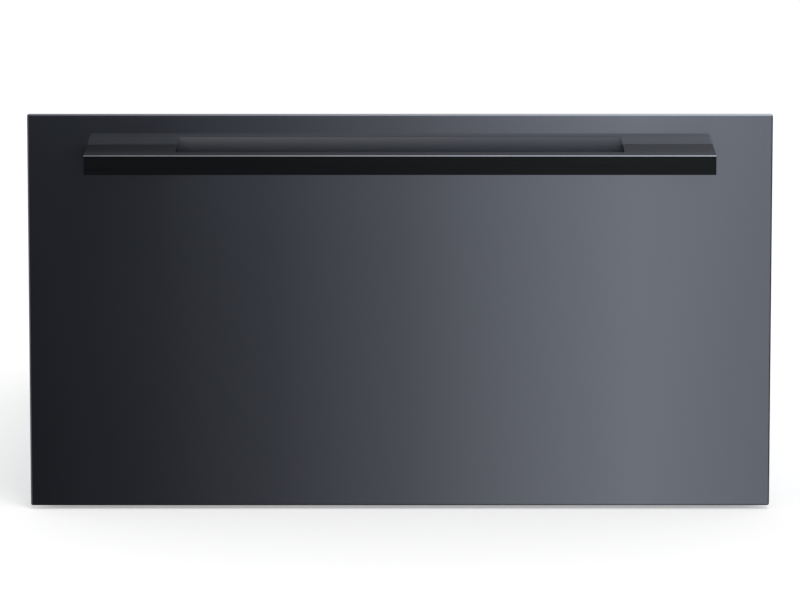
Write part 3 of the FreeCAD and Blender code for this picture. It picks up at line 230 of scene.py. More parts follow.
def brushed_metal(name, colour, roughness, grain=(3.0, 700.0, 700.0), depth=0.00002, shade=0.18):
    """Metal with a grain along the axis whose stretch is the smallest."""
    shader = Shader(name)
    lines = shader.noise(1.0, 4.0, grain)
    cloud = shader.noise(7.0, 2.0)
    tone = shader.blend(lines * 0.7 + cloud * 0.3, *shades(colour, 1 - shade, 1 + shade))
    return shader.principled(tone, roughness - 0.07 + lines * 0.14, 1.0, shader.bump(lines, depth, 0.4))


def brushed_sheet(name, colour, roughness):
    """Folded steel, brushed along each wall."""
    shader = Shader(name)
    facing = shader.node("ShaderNodeNewGeometry", output="Normal")
    fore = abs(shader.node("ShaderNodeSeparateXYZ", inputs={0: facing}, output="Y")) > 0.5
    along_walls = shader.noise(1.0, 3.0, (2200.0, 5.0, 2200.0))
    across_walls = shader.noise(1.0, 3.0, (5.0, 2200.0, 2200.0))
    lines = along_walls * (1 - fore) + across_walls * fore
    cloud = shader.noise(5.0, 2.0)
    tone = shader.blend(lines * 0.6 + cloud * 0.4, *shades(colour, 0.88, 1.1))
    return shader.principled(tone, roughness - 0.05 + lines * 0.1, 1.0, shader.bump(lines, 0.000008, 0.4))


def black_brushed_aluminium(name, settings, slope):
    """Black anodised aluminium, brushed along its length, on a face that falls faintly to the rear."""
    shader = Shader(name)
    lines = shader.noise(1.0, 5.0, (5.0, 1500.0, 1500.0))
    streaks = shader.noise(1.0, 2.0, (2.0, 420.0, 420.0))
    tone = shader.blend(lines * 0.6 + streaks * 0.4, *shades(settings.handle_colour, 0.45, 2.0))
    fall = shader.along("Y") * slope
    normal = shader.bump(lines * 0.01 * MM + fall, 1.0, 1.0)
    return shader.principled(tone, 0.18 + lines * 0.12, 0.0, normal, IOR=1.22)


def plain_aluminium(name, settings):
    """The handle's rear side: faintly crowned, with painted light: pale at the top and dark at the bottom,
    as if lit from above.
    """
    shader = Shader(name)
    lines = shader.noise(1.0, 5.0, (5.0, 1500.0, 1500.0))
    deep = BAR[1].z - BAR[0].z
    rise = (shader.along("Z") - BAR[0].z) / deep
    # painted light and shade: the colour goes from dark at the bottom to pale at the top, standing in for
    # light that falls into the gap from above
    tone = shader.blend(rise + (lines - 0.5) * 0.2, (0.16, 0.162, 0.165), (0.62, 0.625, 0.63))
    crown = rise * rise * (-settings.rear_crown * deep / 2)
    return shader.principled(tone, 0.5 + lines * 0.1, 1.0, shader.bump(lines * 0.01 * MM + crown, 1.0, 1.0))


def cut_arris(name, settings):
    """The bright line where the handle's upper front edge is cut after anodising."""
    shader = Shader(name)
    lines = shader.noise(1.0, 3.0, (4.0, 900.0, 900.0))
    tone = shader.blend(lines, *shades(settings.arris_colour, 0.8, 1.2))
    return shader.principled(tone, 0.3, 1.0)


def galvanised_sheet(name):
    """Zinc-coated sheet with a small spangle and a little dulling."""
    shader = Shader(name)
    spangle = shader.node("ShaderNodeSeparateColor", inputs={0: shader.cells(190.0, output="Color")})
    cloud = shader.noise(3.0, 4.0)
    mill = shader.noise(1.0, 3.0, (260.0, 6.0, 260.0))
    tone = shader.blend(spangle * 0.6 + cloud * 0.4, (0.49, 0.51, 0.53), (0.61, 0.63, 0.65))
    roughness = 0.32 + spangle * 0.1 + cloud * 0.08
    return shader.principled(tone, roughness, 0.9, shader.bump(mill + spangle * 0.3, 0.00002, 0.3))


def bright_zinc(name, colour=(0.6, 0.61, 0.62), roughness=0.24):
    """Zinc plate on rolled or turned steel, with fine drawing lines."""
    shader = Shader(name)
    lines = shader.noise(1.0, 3.0, (500.0, 8.0, 500.0))
    film = shader.noise(60.0, 4.0)
    tone = shader.blend(film, *shades(colour, 0.85, 1.12))
    return shader.principled(tone, roughness + film * 0.12, 1.0, shader.bump(lines, 0.00001, 0.3))


def heated_steel(name):
    """Steel tube tinted straw and brown by its heat."""
    shader = Shader(name)
    patches = shader.noise(26.0, 4.0)
    grain = shader.noise(900.0, 2.0)
    tone = shader.blend(patches, (0.17, 0.14, 0.13), (0.42, 0.34, 0.25))
    return shader.principled(tone, 0.36 + patches * 0.16, 0.85, shader.bump(grain, 0.00003, 0.4))


def motor_steel(name):
    """Plain steel with the fine lines of stacked laminations."""
    shader = Shader(name)
    sheets = (shader.along("Y") * (2 * math.pi / 0.0007)).sine()
    film = shader.noise(40.0, 4.0)
    tone = shader.blend(film, (0.36, 0.36, 0.37), (0.52, 0.52, 0.53))
    return shader.principled(tone, 0.34 + film * 0.14, 0.95, shader.bump(sheets, 0.00005, 0.3))


def powder_coat(name, colour):
    """Fine orange-peel powder coat."""
    shader = Shader(name)
    peel = shader.noise(900.0, 3.0)
    film = shader.noise(14.0, 3.0)
    tone = shader.blend(film, *shades(colour, 0.8, 1.3))
    return shader.principled(tone, 0.42 + film * 0.1, 0.0, shader.bump(peel, 0.00005, 0.35))


def moulded_plastic(name, colour, roughness=0.45):
    """Plastic with a spark-eroded grain."""
    shader = Shader(name)
    grain = shader.noise(1400.0, 3.0)
    film = shader.noise(30.0, 3.0)
    tone = shader.blend(film, *shades(colour, 0.85, 1.2))
    return shader.principled(tone, roughness - 0.05 + grain * 0.1, 0.0, shader.bump(grain, 0.00004, 0.35))


def matt_rubber(name, colour=(0.02, 0.02, 0.02)):
    """Rubber with a dusty bloom."""
    shader = Shader(name)
    grain = shader.noise(700.0, 4.0)
    bloom = shader.noise(24.0, 4.0)
    tone = shader.blend(bloom, *shades(colour, 0.8, 1.7))
    return shader.principled(tone, 0.68 + bloom * 0.16, 0.0, shader.bump(grain, 0.00008, 0.4))


def dotted_silicone(name):
    """Silicone mat with rows of low round dots."""
    shader = Shader(name)
    distance = shader.cells(1 / 0.006, 0.0)
    dots = 1 - (distance * 3.2).least(1.0)
    bloom = shader.noise(18.0, 4.0)
    tone = shader.blend(dots * 0.5 + bloom * 0.4, (0.045, 0.046, 0.05), (0.1, 0.1, 0.105))
    return shader.principled(tone, 0.6 + bloom * 0.12, 0.0, shader.bump(dots, 0.0005, 0.8))


def mineral_wool(name):
    """Pressed wool with loose fibres."""
    shader = Shader(name)
    fibres = shader.noise(240.0, 8.0, (1.0, 1.0, 3.0))
    tufts = shader.noise(45.0, 4.0)
    tone = shader.blend(fibres * 0.6 + tufts * 0.4, (0.5, 0.45, 0.32), (0.86, 0.82, 0.68))
    return shader.principled(tone, 0.95, 0.0, shader.bump(fibres + tufts, 0.0012, 0.8))


def tempered_glass(name):
    """Clear plate with a faint green body."""
    shader = Shader(name)
    film = shader.noise(9.0, 3.0)
    fixed = {"Transmission_Weight": 1.0, "IOR": 1.5}
    return shader.principled((0.86, 0.94, 0.92), 0.015 + film * 0.03, 0.0, **fixed)


def circuit_laminate(name):
    """Green laminate with pale tracks, and dark parts standing on it."""
    shader = Shader(name)
    low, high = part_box("control_board")
    laminate = 1.6 * MM
    parts = shader.along("Z") > low.z + laminate + 0.2 * MM
    grid = shader.cells(1 / 0.005, 0.7)
    tracks = (grid > 0.32) * 0.7
    board = shader.blend(tracks, (0.02, 0.13, 0.06), (0.06, 0.3, 0.14))
    tone = shader.blend(parts, board, (0.03, 0.03, 0.035))
    return shader.principled(tone, 0.42 - tracks * 0.1, 0.0, shader.bump(tracks, 0.00003, 0.4))


def amber_lens(name):
    """Clear amber plastic with a moulded ring pattern."""
    shader = Shader(name)
    grain = shader.cells(900.0)
    tone = shader.blend(grain, (0.75, 0.3, 0.03), (0.5, 0.17, 0.015))
    return shader.principled(tone, 0.16, 0.0, shader.bump(grain, 0.00006, 0.4), Coat_Weight=1.0)


def printed_white(name):
    """Screen print on the fascia."""
    shader = Shader(name)
    film = shader.noise(600.0, 3.0)
    tone = shader.blend(film, (0.74, 0.74, 0.73), (0.86, 0.86, 0.85))
    return shader.principled(tone, 0.5, 0.0)


def inlet_plastic(name):
    """Black plastic round plated pins."""
    shader = Shader(name)
    low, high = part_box("mains_inlet")
    middle = (low + high) / 2
    half_width, half_height, wall = 7.4 * MM, 4.4 * MM, 3.2 * MM
    across = abs(shader.along("X") - middle.x) < half_width
    upward = abs(shader.along("Z") - middle.z) < half_height
    inward = shader.along("Y") > low.y + wall
    pins = across * upward * inward
    grain = shader.noise(1400.0, 3.0)
    tone = shader.blend(pins, (0.02, 0.02, 0.02), (0.62, 0.6, 0.52))
    return shader.principled(tone, 0.48 - pins * 0.24, pins, shader.bump(grain, 0.00004, 0.3))


# Meshes

def slab(low, high):
    """A box between two corners."""
    bm = bmesh.new()
    size = Vector(high) - Vector(low)
    middle = (Vector(high) + Vector(low)) / 2
    bmesh.ops.create_cube(bm, size=1.0, matrix=Matrix.Translation(middle) @ Matrix.Diagonal((*size, 1.0)))
    return bm


def bevel(bm, edges, width, segments=3):
    """Cuts edges by one segment, or rounds them by more."""
    cut = {"offset_type": "OFFSET", "segments": segments, "profile": 0.5, "affect": "EDGES", "material": -1}
    return bmesh.ops.bevel(bm, geom=edges, offset=width, clamp_overlap=True, **cut)


def edges_along(bm, axis):
    """The edges that run along one axis."""
    others = [i for i in range(3) if i != axis]
    return [e for e in bm.edges if all(abs(e.verts[0].co[i] - e.verts[1].co[i]) < 1e-7 for i in others)]


def edges_at(bm, axis, level):
    """The edges that lie in one plane across an axis."""
    return [e for e in bm.edges if all(abs(v.co[axis] - level) < 1e-7 for v in e.verts)]


def turned(profile, centre, axis, steps=24):
    """A solid of revolution about an axis: profile holds (radius, height along the axis) pairs."""
    bm = bmesh.new()
    start = [bm.verts.new((radius, 0.0, height)) for radius, height in profile]
    edges = [bm.edges.new(pair) for pair in zip(start, start[1:] + start[:1])]
    geometry = start + edges
    full = {"angle": 2 * math.pi, "steps": steps, "use_merge": True}
    bmesh.ops.spin(bm, geom=geometry, cent=(0, 0, 0), axis=(0, 0, 1), dvec=(0, 0, 0), **full)
    bmesh.ops.remove_doubles(bm, verts=bm.verts, dist=1e-6)
    bmesh.ops.recalc_face_normals(bm, faces=bm.faces)
    turn = Vector(axis).to_track_quat("Z", "Y").to_matrix().to_4x4()
    bmesh.ops.transform(bm, matrix=Matrix.Translation(centre) @ turn, verts=bm.verts)
    return bm


def merge(target, part):
    """Adds one bmesh to another."""
    mesh = bpy.data.meshes.new("part")
    part.to_mesh(mesh)
    part.free()
    target.from_mesh(mesh)
    bpy.data.meshes.remove(mesh)


def solids(node):
    """A merged copy of a node's mesh, and its separate solids as lists of vertices, in the mesh's order."""
    bm = bmesh.new()
    bm.from_mesh(frame["nodes"][node].data)
    bmesh.ops.remove_doubles(bm, verts=bm.verts, dist=1e-6)
    left = dict.fromkeys(bm.verts)
    groups = []
    while left:
        group = [next(iter(left))]
        del left[group[0]]
        for vertex in group:
            for other in [e.other_vert(vertex) for e in vertex.link_edges]:
                if other in left:
                    del left[other]
                    group.append(other)
        groups.append(group)
    return bm, groups


def corners(vertices):
    """The lowest and highest corner of some vertices."""
    low = Vector([min(v.co[i] for v in vertices) for i in range(3)])
    high = Vector([max(v.co[i] for v in vertices) for i in range(3)])
    return low, high


def solid_boxes(node):
    """The lowest and highest corner of each of a node's solids."""
    bm, groups = solids(node)
    boxes = [corners(group) for group in groups]
    bm.free()
    return boxes


def add_piece(name, bm, materials, node, *replaced, smooth=35.0):
    """Makes a bmesh a piece that rides on the body of a CAD node, and stands for the replaced nodes."""
    mesh = bpy.data.meshes.new(name)
    bm.to_mesh(mesh)
    bm.free()
    for material in materials:
        mesh.materials.append(material)
    for polygon in mesh.polygons:
        polygon.use_smooth = True
    mesh.set_sharp_from_angle(angle=math.radians(smooth))
    made = bpy.data.objects.new(name, mesh)
    bpy.context.scene.collection.objects.link(made)
    flat = made.modifiers.new("flat_faces", "WEIGHTED_NORMAL")
    flat.weight = 100
    flat.keep_sharp = True
    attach(made, frame["nodes"][node]["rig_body"])
    if replaced:
        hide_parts(*replaced)
    return made


def finish(name, maker, *values):
    """One shared material for each finish."""
    if name not in finishes:
        finishes[name] = maker(name, *values)
    return finishes[name]


def dress(material, *nodes):
    """Gives CAD nodes a finish through their material slots."""
    for node in nodes:
        for slot in frame["nodes"][node].material_slots:
            slot.material = material


def screw_head(centre, outward, radius, height):
    """A pan head with a star recess."""
    bm = bmesh.new()
    bmesh.ops.create_circle(bm, cap_ends=True, segments=12, radius=radius)
    face = next(iter(bm.faces))
    steps = ((1.0, 0.45), (0.9, 0.8), (0.68, 1.0), (0.5, 1.0))  # shares of the radius and of the height
    wide, level = 1.0, 0.0
    for share, top in steps:
        face = bmesh.ops.extrude_discrete_faces(bm, faces=[face])["faces"][0]
        bmesh.ops.translate(bm, verts=face.verts, vec=(0, 0, (top - level) * height))
        bmesh.ops.scale(bm, verts=face.verts, vec=(share / wide, share / wide, 1.0))
        wide, level = share, top
    star, depth = 0.72, 0.6
    bmesh.ops.scale(bm, verts=list(face.verts)[::2], vec=(star, star, 1.0))
    recess = bmesh.ops.extrude_discrete_faces(bm, faces=[face])["faces"][0]
    bmesh.ops.translate(bm, verts=recess.verts, vec=(0, 0, -depth * height))
    bmesh.ops.recalc_face_normals(bm, faces=bm.faces)
    turn = Vector(outward).to_track_quat("Z", "Y").to_matrix().to_4x4()
    bmesh.ops.transform(bm, matrix=Matrix.Translation(centre) @ turn, verts=bm.verts)
    return bm


# Settings

class FrontSettings(bpy.types.PropertyGroup):
    """Sizes and colours of the glass front and its handle."""

    corner: FloatProperty(name="Corner", description="Radius of the glass front's corners",
                          default=1.6 * MM, unit="LENGTH")
    glass_edge: FloatProperty(name="Glass edge", description="Width of the polished bevel round the glass",
                              default=1.15 * MM, unit="LENGTH")
    glass_colour: FloatVectorProperty(name="Glass", description="Colour of the glass's mirror coat",
                                      default=(0.068, 0.073, 0.084), subtype="COLOR")
    glass_index: FloatProperty(name="Glass index", description="Refractive index of the glass's face",
                               default=2.2)
    handle_edge: FloatProperty(name="Handle edge", description="Radius of the handle's edges",
                               default=0.4 * MM, unit="LENGTH")
    rear_crown: FloatProperty(name="Rear crown", description="Slope shown by the top of the bar's rear",
                              default=0.6)
    bar_fall: FloatProperty(name="Bar fall", description="Slope shown by the bar's top",
                            default=0.012)
    block_fall: FloatProperty(name="Block fall", description="Slope shown by the blocks' tops",
                              default=0.03)
    arris: FloatProperty(name="Arris", description="Width of the bright cut along the handle",
                         default=0.5 * MM, unit="LENGTH")
    handle_colour: FloatVectorProperty(name="Handle", description="Colour of the anodised handle",
                                       default=(0.0045, 0.0048, 0.0052), subtype="COLOR")
    arris_colour: FloatVectorProperty(name="Arris colour", description="Colour of the cut edge",
                                      default=(0.28, 0.282, 0.285), subtype="COLOR")


class StageSettings(bpy.types.PropertyGroup):
    """Camera, light and floor."""

    distance: FloatProperty(name="Distance", description="Camera to the glass front",
                            default=4.995, unit="LENGTH")
    sight: FloatProperty(name="Sight", description="Angle at which the camera looks down",
                         default=math.radians(10.0), subtype="ANGLE")
    lens: FloatProperty(name="Lens", description="Focal length in millimetres", default=280.0)
    raised: FloatProperty(name="Raised", description="Middle of the view above the middle of the front",
                          default=8.97 * MM, unit="LENGTH")
    floor_colour: FloatVectorProperty(name="Floor", description="Colour of the floor",
                                      default=(0.8, 0.8, 0.8), subtype="COLOR")
    floor_lift: FloatProperty(name="Floor lift", description="Light that the floor adds where it is seen",
                              default=0.3)
    soft_light: FloatProperty(name="Soft light", description="Strength of the light from all round",
                              default=0.75)
    key_light: FloatProperty(name="Key light", description="Strength of the light from above",
                             default=0.9)


# Operators

class DRAWER_OT_front(bpy.types.Operator):
    """Builds the glass front with its rounded corners and polished edges"""

    bl_idname = "drawer.front"
    bl_label = "Glass front"

    def execute(self, context):
        settings = context.scene.front_settings
        low, high = GLASS
        bm = slab(low, high)
        rear_edge = 0.4 * MM
        bevel(bm, edges_along(bm, 1), settings.corner, 6)
        bevel(bm, edges_at(bm, 1, low.y), settings.glass_edge, 1)
        bevel(bm, edges_at(bm, 1, high.y), rear_edge, 1)
        coat = finish("mirror_coated_glass", mirror_coated_glass, settings)
        add_piece("polished_front", bm, [coat], "front_glass", "front_glass")
        return {"FINISHED"}


class DRAWER_OT_handle(bpy.types.Operator):
    """Builds the brushed handle bar and the blocks that carry it"""

    bl_idname = "drawer.handle"
    bl_label = "Handle"

    def execute(self, context):
        settings = context.scene.front_settings
        black = finish("bar_aluminium", black_brushed_aluminium, settings, settings.bar_fall)
        bright = finish("cut_arris", cut_arris, settings)
        rear_painted_light = finish("plain_aluminium", plain_aluminium, settings)
        low, high = BAR
        bm = slab(low, high)
        upper = [e for e in edges_at(bm, 1, low.y) if all(v.co.z > high.z - 1e-6 for v in e.verts)]
        for face in bevel(bm, upper, settings.arris, 1)["faces"]:
            face.material_index = 1
        rest = [e for e in bm.edges if all(f.material_index == 0 for f in e.link_faces)]
        bevel(bm, rest, settings.handle_edge, 2)
        # the rear faces take the finish whose colour is painted light from above
        for face in bm.faces:
            if face.normal.y > 0.99:
                face.material_index = 2
        add_piece("brushed_bar", bm, [black, bright, rear_painted_light], "handle_bar", "handle_bar")
        black = finish("block_aluminium", black_brushed_aluminium, settings, settings.block_fall)
        for side in ("left", "right"):
            node = f"{side}_handle_block"
            bm = slab(*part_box(node))
            bevel(bm, bm.edges[:], settings.handle_edge / 2, 2)
            add_piece(f"brushed_{side}_block", bm, [black], node, node)
        dress(finish("pad_rubber", matt_rubber), "handle_pads")
        return {"FINISHED"}


class DRAWER_OT_front_body(bpy.types.Operator):
    """Dresses the sheet metal, wool and seal behind the glass"""

    bl_idname = "drawer.front_body"
    bl_label = "Front body"

    def execute(self, context):
        dress(finish("galvanised_sheet", galvanised_sheet), "front_carrier")
        dress(finish("liner_steel", brushed_metal, (0.58, 0.57, 0.55), 0.3), "front_liner")
        dress(finish("mineral_wool", mineral_wool), "front_insulation")
        dress(finish("seal_rubber", matt_rubber, (0.025, 0.025, 0.026)), "door_seal")
        return {"FINISHED"}


class DRAWER_OT_tub(bpy.types.Operator):
    """Dresses the tub, its glass plate and its mat"""

    bl_idname = "drawer.tub"
    bl_label = "Tub"

    def execute(self, context):
        dress(finish("tub_steel", brushed_sheet, (0.62, 0.61, 0.59), 0.3), "drawer_tub")
        dress(finish("tempered_glass", tempered_glass), "glass_plate")
        dress(finish("dotted_silicone", dotted_silicone), "anti_slip_mat")
        dress(finish("pad_rubber", matt_rubber), "plate_pads")
        return {"FINISHED"}


class DRAWER_OT_runners(bpy.types.Operator):
    """Dresses the runners and fills their cages with steel balls"""

    bl_idname = "drawer.runners"
    bl_label = "Ball runners"

    def execute(self, context):
        zinc = finish("runner_zinc", bright_zinc)
        strip = finish("cage_strip", bright_zinc, (0.5, 0.48, 0.44), 0.3)
        ball = finish("polished_ball", bright_zinc, (0.7, 0.7, 0.7), 0.08)
        for side in ("left", "right"):
            dress(zinc, f"{side}_outer_rail", f"{side}_middle_rail", f"{side}_inner_rail")
            for level in ("outer", "inner"):
                self.build_cage(f"{side}_{level}_cage", [strip, ball])
        return {"FINISHED"}

    @staticmethod
    def build_cage(node, materials):
        bm, groups = solids(node)
        longest = max(groups, key=lambda group: corners(group)[1].y - corners(group)[0].y)
        places = [corners(group) for group in groups if group is not longest]
        spare = [v for group in groups if group is not longest for v in group]
        bmesh.ops.delete(bm, geom=spare, context="VERTS")
        for low, high in places:
            radius = (high.x - low.x) / 2
            place = Matrix.Translation((low + high) / 2)
            made = bmesh.ops.create_uvsphere(bm, u_segments=16, v_segments=10, radius=radius, matrix=place)
            for face in {f for v in made["verts"] for f in v.link_faces}:
                face.material_index = 1
        add_piece(f"{node}_with_balls", bm, materials, node, node)


class DRAWER_OT_controls(bpy.types.Operator):
    """Dresses the control fascia and prints the dial round the knob"""

    bl_idname = "drawer.controls"
    bl_label = "Controls"

    def execute(self, context):
        dress(finish("fascia_coat", powder_coat, (0.018, 0.018, 0.02)), "control_fascia")
        knob = finish("knob_plastic", moulded_plastic, (0.03, 0.03, 0.032), 0.34)
        dress(knob, "selector_knob", "power_button")
        dress(finish("spindle_steel", bright_zinc), "selector_spindle")
        dress(finish("amber_lens", amber_lens), "indicator_lens")
        housing = finish("housing_plastic", moulded_plastic, HOUSING_BLACK, 0.5)
        dress(housing, "control_tray", "selector_switch", "power_switch")
        dress(finish("circuit_laminate", circuit_laminate), "control_board")
        self.print_dial()
        return {"FINISHED"}

    @staticmethod
    def print_dial():
        low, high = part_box("selector_knob")
        radius = (high.x - low.x) / 2
        axis = (low + high) / 2
        printed = Vector((axis.x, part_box("control_fascia")[0].y, axis.z))
        tick_low = Vector((-0.15 * MM, -0.06 * MM, radius + 0.7 * MM))
        tick_high = Vector((0.15 * MM, 0.02 * MM, radius + 1.7 * MM))
        number_out, number_size = radius + 3.2 * MM, 2.2 * MM
        bm = bmesh.new()
        for number in range(5):
            turn = Matrix.Rotation(math.radians(67.5 * number), 4, "Y")
            tick = slab(tick_low, tick_high)
            bmesh.ops.transform(tick, matrix=Matrix.Translation(printed) @ turn, verts=tick.verts)
            merge(bm, tick)
            merge(bm, written(str(number), number_size, printed + turn @ Vector((0, 0, number_out))))
        print_white = finish("printed_white", printed_white)
        add_piece("dial_print", bm, [print_white], "control_fascia")
        inlay = slab((-0.5 * MM, 0.3 * MM, radius * 0.37), (0.5 * MM, 0.7 * MM, radius * 0.83))
        bmesh.ops.translate(inlay, verts=inlay.verts, vec=(axis.x, low.y, axis.z))
        add_piece("pointer_inlay", inlay, [print_white], "selector_knob")


def written(text, size, centre):
    """A flat number that faces the front."""
    curve = bpy.data.curves.new("number", "FONT")
    curve.body = text
    curve.size = size
    curve.extrude = 0.05 * MM
    curve.align_x = "CENTER"
    curve.align_y = "CENTER"
    holder = bpy.data.objects.new("number", curve)
    bpy.context.scene.collection.objects.link(holder)
    bpy.context.view_layer.update()
    mesh = bpy.data.meshes.new_from_object(holder.evaluated_get(bpy.context.evaluated_depsgraph_get()))
    bm = bmesh.new()
    bm.from_mesh(mesh)
    bpy.data.objects.remove(holder)
    bpy.data.curves.remove(curve)
    bpy.data.meshes.remove(mesh)
    upright = Matrix.Rotation(math.radians(90), 4, "X")
    bmesh.ops.transform(bm, matrix=Matrix.Translation(centre) @ upright, verts=bm.verts)
    return bm


class DRAWER_OT_heating(bpy.types.Operator):
    """Dresses the heating element, the fan and what stands round them"""

    bl_idname = "drawer.heating"
    bl_label = "Heating"

    def execute(self, context):
        dress(finish("heated_steel", heated_steel), "heating_element")
        dress(finish("runner_zinc", bright_zinc), "element_clips")
        sheet = finish("baffle_steel", brushed_metal, (0.6, 0.59, 0.57), 0.3, (4.0, 700.0, 700.0))
        dress(sheet, "heat_reflector", "rear_baffle")
        dress(finish("galvanised_sheet", galvanised_sheet), "fan_chamber")
        dress(finish("motor_steel", motor_steel), "fan_motor", "fan_wheel")
        dress(finish("spindle_steel", bright_zinc), "fan_shaft", "temperature_sensor")
        dress(finish("pad_rubber", matt_rubber), "motor_spacers", "tub_buffers")
        dress(finish("housing_plastic", moulded_plastic, HOUSING_BLACK, 0.5), "thermal_cutout")
        dress(finish("pale_plastic", moulded_plastic, (0.68, 0.66, 0.6), 0.5), "terminal_block")
        return {"FINISHED"}


class DRAWER_OT_casing(bpy.types.Operator):
    """Dresses the sheet-metal casing and its insulation"""

    bl_idname = "drawer.casing"
    bl_label = "Casing"

    def execute(self, context):
        sheet = finish("galvanised_sheet", galvanised_sheet)
        dress(sheet, "base_pan", "left_side_panel", "right_side_panel", "back_panel")
        dress(sheet, "top_cover", "ceiling_plate")
        dress(finish("mineral_wool", mineral_wool), "ceiling_insulation")
        dress(finish("inlet_plastic", inlet_plastic), "mains_inlet")
        return {"FINISHED"}


class DRAWER_OT_fasteners(bpy.types.Operator):
    """Builds the pan-head screws in the places of the solids"""

    bl_idname = "drawer.fasteners"
    bl_label = "Fasteners"

    def execute(self, context):
        plated = finish("plated_screw", bright_zinc, (0.55, 0.55, 0.56), 0.2)
        dress(plated, "handle_screws")
        for node in ("casing_screws", "runner_screws", "tub_screws", "foot_screws"):
            bm = bmesh.new()
            for low, high in solid_boxes(node):
                self.add_screw(bm, low, high)
            add_piece(f"recessed_{node}", bm, [plated], node, node)
        return {"FINISHED"}

    @staticmethod
    def add_screw(bm, low, high):
        """The head is at the end that faces away from the sheet that the screw holds."""
        size = high - low
        spread = [abs(size[(i + 1) % 3] - size[(i + 2) % 3]) for i in range(3)]
        axis = spread.index(min(spread))
        middle = (low + high) / 2
        if axis == 0:
            inside = abs(middle.x) < INNER_REACH
            sign = math.copysign(1.0, -middle.x if inside else middle.x)
        else:
            sign = 1.0 if axis == 1 else -1.0
        outward = Vector([sign if i == axis else 0.0 for i in range(3)])
        radius = max(size[(axis + 1) % 3], size[(axis + 2) % 3]) / 2
        tip = middle + outward * size[axis] / 2
        merge(bm, screw_head(tip - outward * SCREW_HEAD, outward, radius, SCREW_HEAD))
        shank, length = radius * 0.5, size[axis] - SCREW_HEAD
        outline = [(0.0, 0.0), (shank, 0.0), (shank, length), (0.0, length)]
        merge(bm, turned(outline, tip - outward * size[axis], outward, 12))


class DRAWER_OT_feet(bpy.types.Operator):
    """Builds the rubber feet with their grooves"""

    bl_idname = "drawer.feet"
    bl_label = "Feet"

    def execute(self, context):
        bm = bmesh.new()
        for low, high in solid_boxes("rubber_feet"):
            radius = (high.x - low.x) / 2
            height = high.z - low.z
            centre = Vector(((low.x + high.x) / 2, (low.y + high.y) / 2, low.z))
            bore, recess = 2.0 * MM, 3.9 * MM
            insets = ((6.2, 0.0), (5.6, 0.7), (4.4, 0.7), (3.8, 0.0), (1.6, 0.0), (0.5, 0.6), (0.2, 2.0))
            groove_and_rim = [(radius - inset * MM, up * MM) for inset, up in insets]
            top = [(radius, height - 0.5 * MM), (radius - 0.5 * MM, height), (bore, height)]
            profile = [(recess, 0.0), *groove_and_rim, *top, (bore, height / 2), (recess, height / 2)]
            merge(bm, turned(profile, centre, (0, 0, 1), 36))
        rubber = finish("foot_rubber", matt_rubber)
        add_piece("grooved_feet", bm, [rubber], "rubber_feet", "rubber_feet")
        return {"FINISHED"}


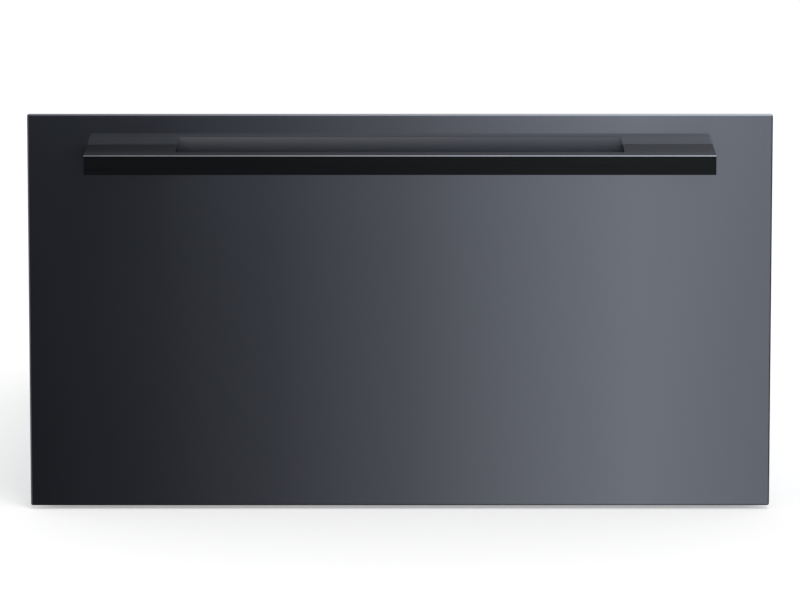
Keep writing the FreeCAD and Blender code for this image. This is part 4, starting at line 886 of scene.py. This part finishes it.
class DRAWER_OT_stage(bpy.types.Operator):
    """Sets the floor, the reflector, the light and the camera"""

    bl_idname = "drawer.stage"
    bl_label = "Stage"

    def execute(self, context):
        settings = context.scene.stage_settings
        self.lay_floor(settings)
        self.stand_reflector()
        self.light(settings)
        self.place_camera(context, settings)
        context.scene.view_settings.view_transform = "Standard"
        return {"FINISHED"}

    @staticmethod
    def add_stage(name, bm, material):
        mesh = bpy.data.meshes.new(name)
        bm.to_mesh(mesh)
        bm.free()
        mesh.materials.append(material)
        made = bpy.data.objects.new(name, mesh)
        bpy.context.scene.collection.objects.link(made)
        return made

    def lay_floor(self, settings):
        shader = Shader("floor_paint")
        paint = shader.node("ShaderNodeBsdfDiffuse", inputs={"Color": opaque(settings.floor_colour)})
        strength = shader.background_rays() * settings.floor_lift
        lift = shader.node("ShaderNodeEmission", inputs={"Color": (1, 1, 1, 1), "Strength": strength})
        both = shader.node("ShaderNodeAddShader", inputs={0: paint, 1: lift})
        shader.node("ShaderNodeOutputMaterial", inputs={"Surface": both})
        bm = bmesh.new()
        bmesh.ops.create_grid(bm, x_segments=1, y_segments=1, size=60.0)
        floor = self.add_stage("floor", bm, shader.material)
        floor.visible_glossy = False

    def stand_reflector(self):
        """A tent of grey cards that only mirrors see: dark on the left and pale on the right."""
        low, high = Vector((-0.9, -0.85, -0.6)), Vector((0.9, -0.15, 1.4))
        shader = Shader("reflector_card")
        across = shader.span(shader.along("X"), low.x, high.x)
        greys = (
            (0.0, 0.4), (0.2, 0.08), (0.31, 0.02), (0.375, 0.06), (0.435, 0.15),
            (0.5, 0.33), (0.62, 0.88), (0.7, 0.62), (0.9, 0.4), (1.0, 0.08),
        )
        stops = [(place, (grey, grey, grey)) for place, grey in greys]
        card_front = shader.node("ShaderNodeValToRGB", {"stops": stops}, {0: across})
        height = shader.along("Z") - BAR[1].z
        below = card_front * shader.span(height, -0.89, -0.8, 0.3, 1.0)
        side = shader.span(across, 0.3, 0.65, 0.05, 1.1)
        band = 1 - shader.span(height, 0.075, 0.115)
        roof = shader.span(height, 0.6, 1.1)
        above = side + band * (side * 0.35 + 0.43) + roof * (side * 1.05 + 0.12)
        rise = shader.span(height, -0.02, 0.02)
        tone = below * (1 - rise) + above * rise
        card = shader.node("ShaderNodeEmission", inputs={"Color": (0.95, 1.0, 1.14, 1), "Strength": tone})
        shader.node("ShaderNodeOutputMaterial", inputs={"Surface": card})
        bm = slab(low, high)
        back = [f for f in bm.faces if f.normal.y > 0.5]
        bmesh.ops.delete(bm, geom=back, context="FACES")
        hem = [e for e in edges_at(bm, 1, high.y) if all(v.co.z < 0 for v in e.verts)]
        grown = bmesh.ops.extrude_edge_only(bm, edges=hem)["geom"]
        lengthened = [v for v in grown if isinstance(v, bmesh.types.BMVert)]
        bmesh.ops.translate(bm, verts=lengthened, vec=(0, 0.4, 0))
        made = self.add_stage("reflector", bm, shader.material)
        made.visible_camera = False
        made.visible_diffuse = False
        made.visible_shadow = False
        made.visible_transmission = False

    @staticmethod
    def light(settings):
        world = bpy.data.worlds.new("studio")
        bpy.context.scene.world = world
        shader = Shader("studio", world)
        strength = shader.background_rays() * (1 - settings.soft_light) + settings.soft_light
        sky = shader.node("ShaderNodeBackground", inputs={"Color": (1, 1, 1, 1), "Strength": strength})
        shader.node("ShaderNodeOutputWorld", inputs={"Surface": sky})
        lamp = bpy.data.lights.new("key", "SUN")
        lamp.energy = settings.key_light
        lamp.angle = math.radians(35)
        key = bpy.data.objects.new("key", lamp)
        key.rotation_euler = (math.radians(28), math.radians(14), 0)
        bpy.context.scene.collection.objects.link(key)

    @staticmethod
    def place_camera(context, settings):
        low, high = GLASS
        target = Vector((0.0, low.y, (low.z + high.z) / 2 + settings.raised))
        back = Vector((0.0, -math.cos(settings.sight), math.sin(settings.sight)))
        data = bpy.data.cameras.new("camera")
        data.lens = settings.lens
        data.sensor_width = 36.0
        data.clip_end = 100.0
        camera = bpy.data.objects.new("camera", data)
        camera.location = target + back * settings.distance
        camera.rotation_euler = (-back).to_track_quat("-Z", "Y").to_euler()
        bpy.context.scene.collection.objects.link(camera)
        context.scene.camera = camera


OPERATORS = (
    DRAWER_OT_stage, DRAWER_OT_front, DRAWER_OT_handle, DRAWER_OT_front_body, DRAWER_OT_tub,
    DRAWER_OT_runners, DRAWER_OT_controls, DRAWER_OT_heating, DRAWER_OT_casing, DRAWER_OT_fasteners,
    DRAWER_OT_feet,
)


class DRAWER_PT_looks(bpy.types.Panel):
    """The drawer's pieces and settings"""

    bl_label = "Warming Drawer"
    bl_idname = "DRAWER_PT_looks"
    bl_space_type = "VIEW_3D"
    bl_region_type = "UI"
    bl_category = "Warming Drawer"

    def draw(self, context):
        for settings in (context.scene.front_settings, context.scene.stage_settings):
            for name in settings.__annotations__:
                self.layout.prop(settings, name)
        for operator in OPERATORS:
            self.layout.operator(operator.bl_idname)


CLASSES = (FrontSettings, StageSettings, *OPERATORS, DRAWER_PT_looks)


def register():
    for item in CLASSES:
        bpy.utils.register_class(item)
    bpy.types.Scene.front_settings = PointerProperty(type=FrontSettings)
    bpy.types.Scene.stage_settings = PointerProperty(type=StageSettings)


def unregister():
    del bpy.types.Scene.stage_settings
    del bpy.types.Scene.front_settings
    for item in reversed(CLASSES):
        bpy.utils.unregister_class(item)


def main():
    register()
    for operator in OPERATORS:
        group, name = operator.bl_idname.split(".")
        getattr(getattr(bpy.ops, group), name)()


if __name__ == "__main__":
    main()
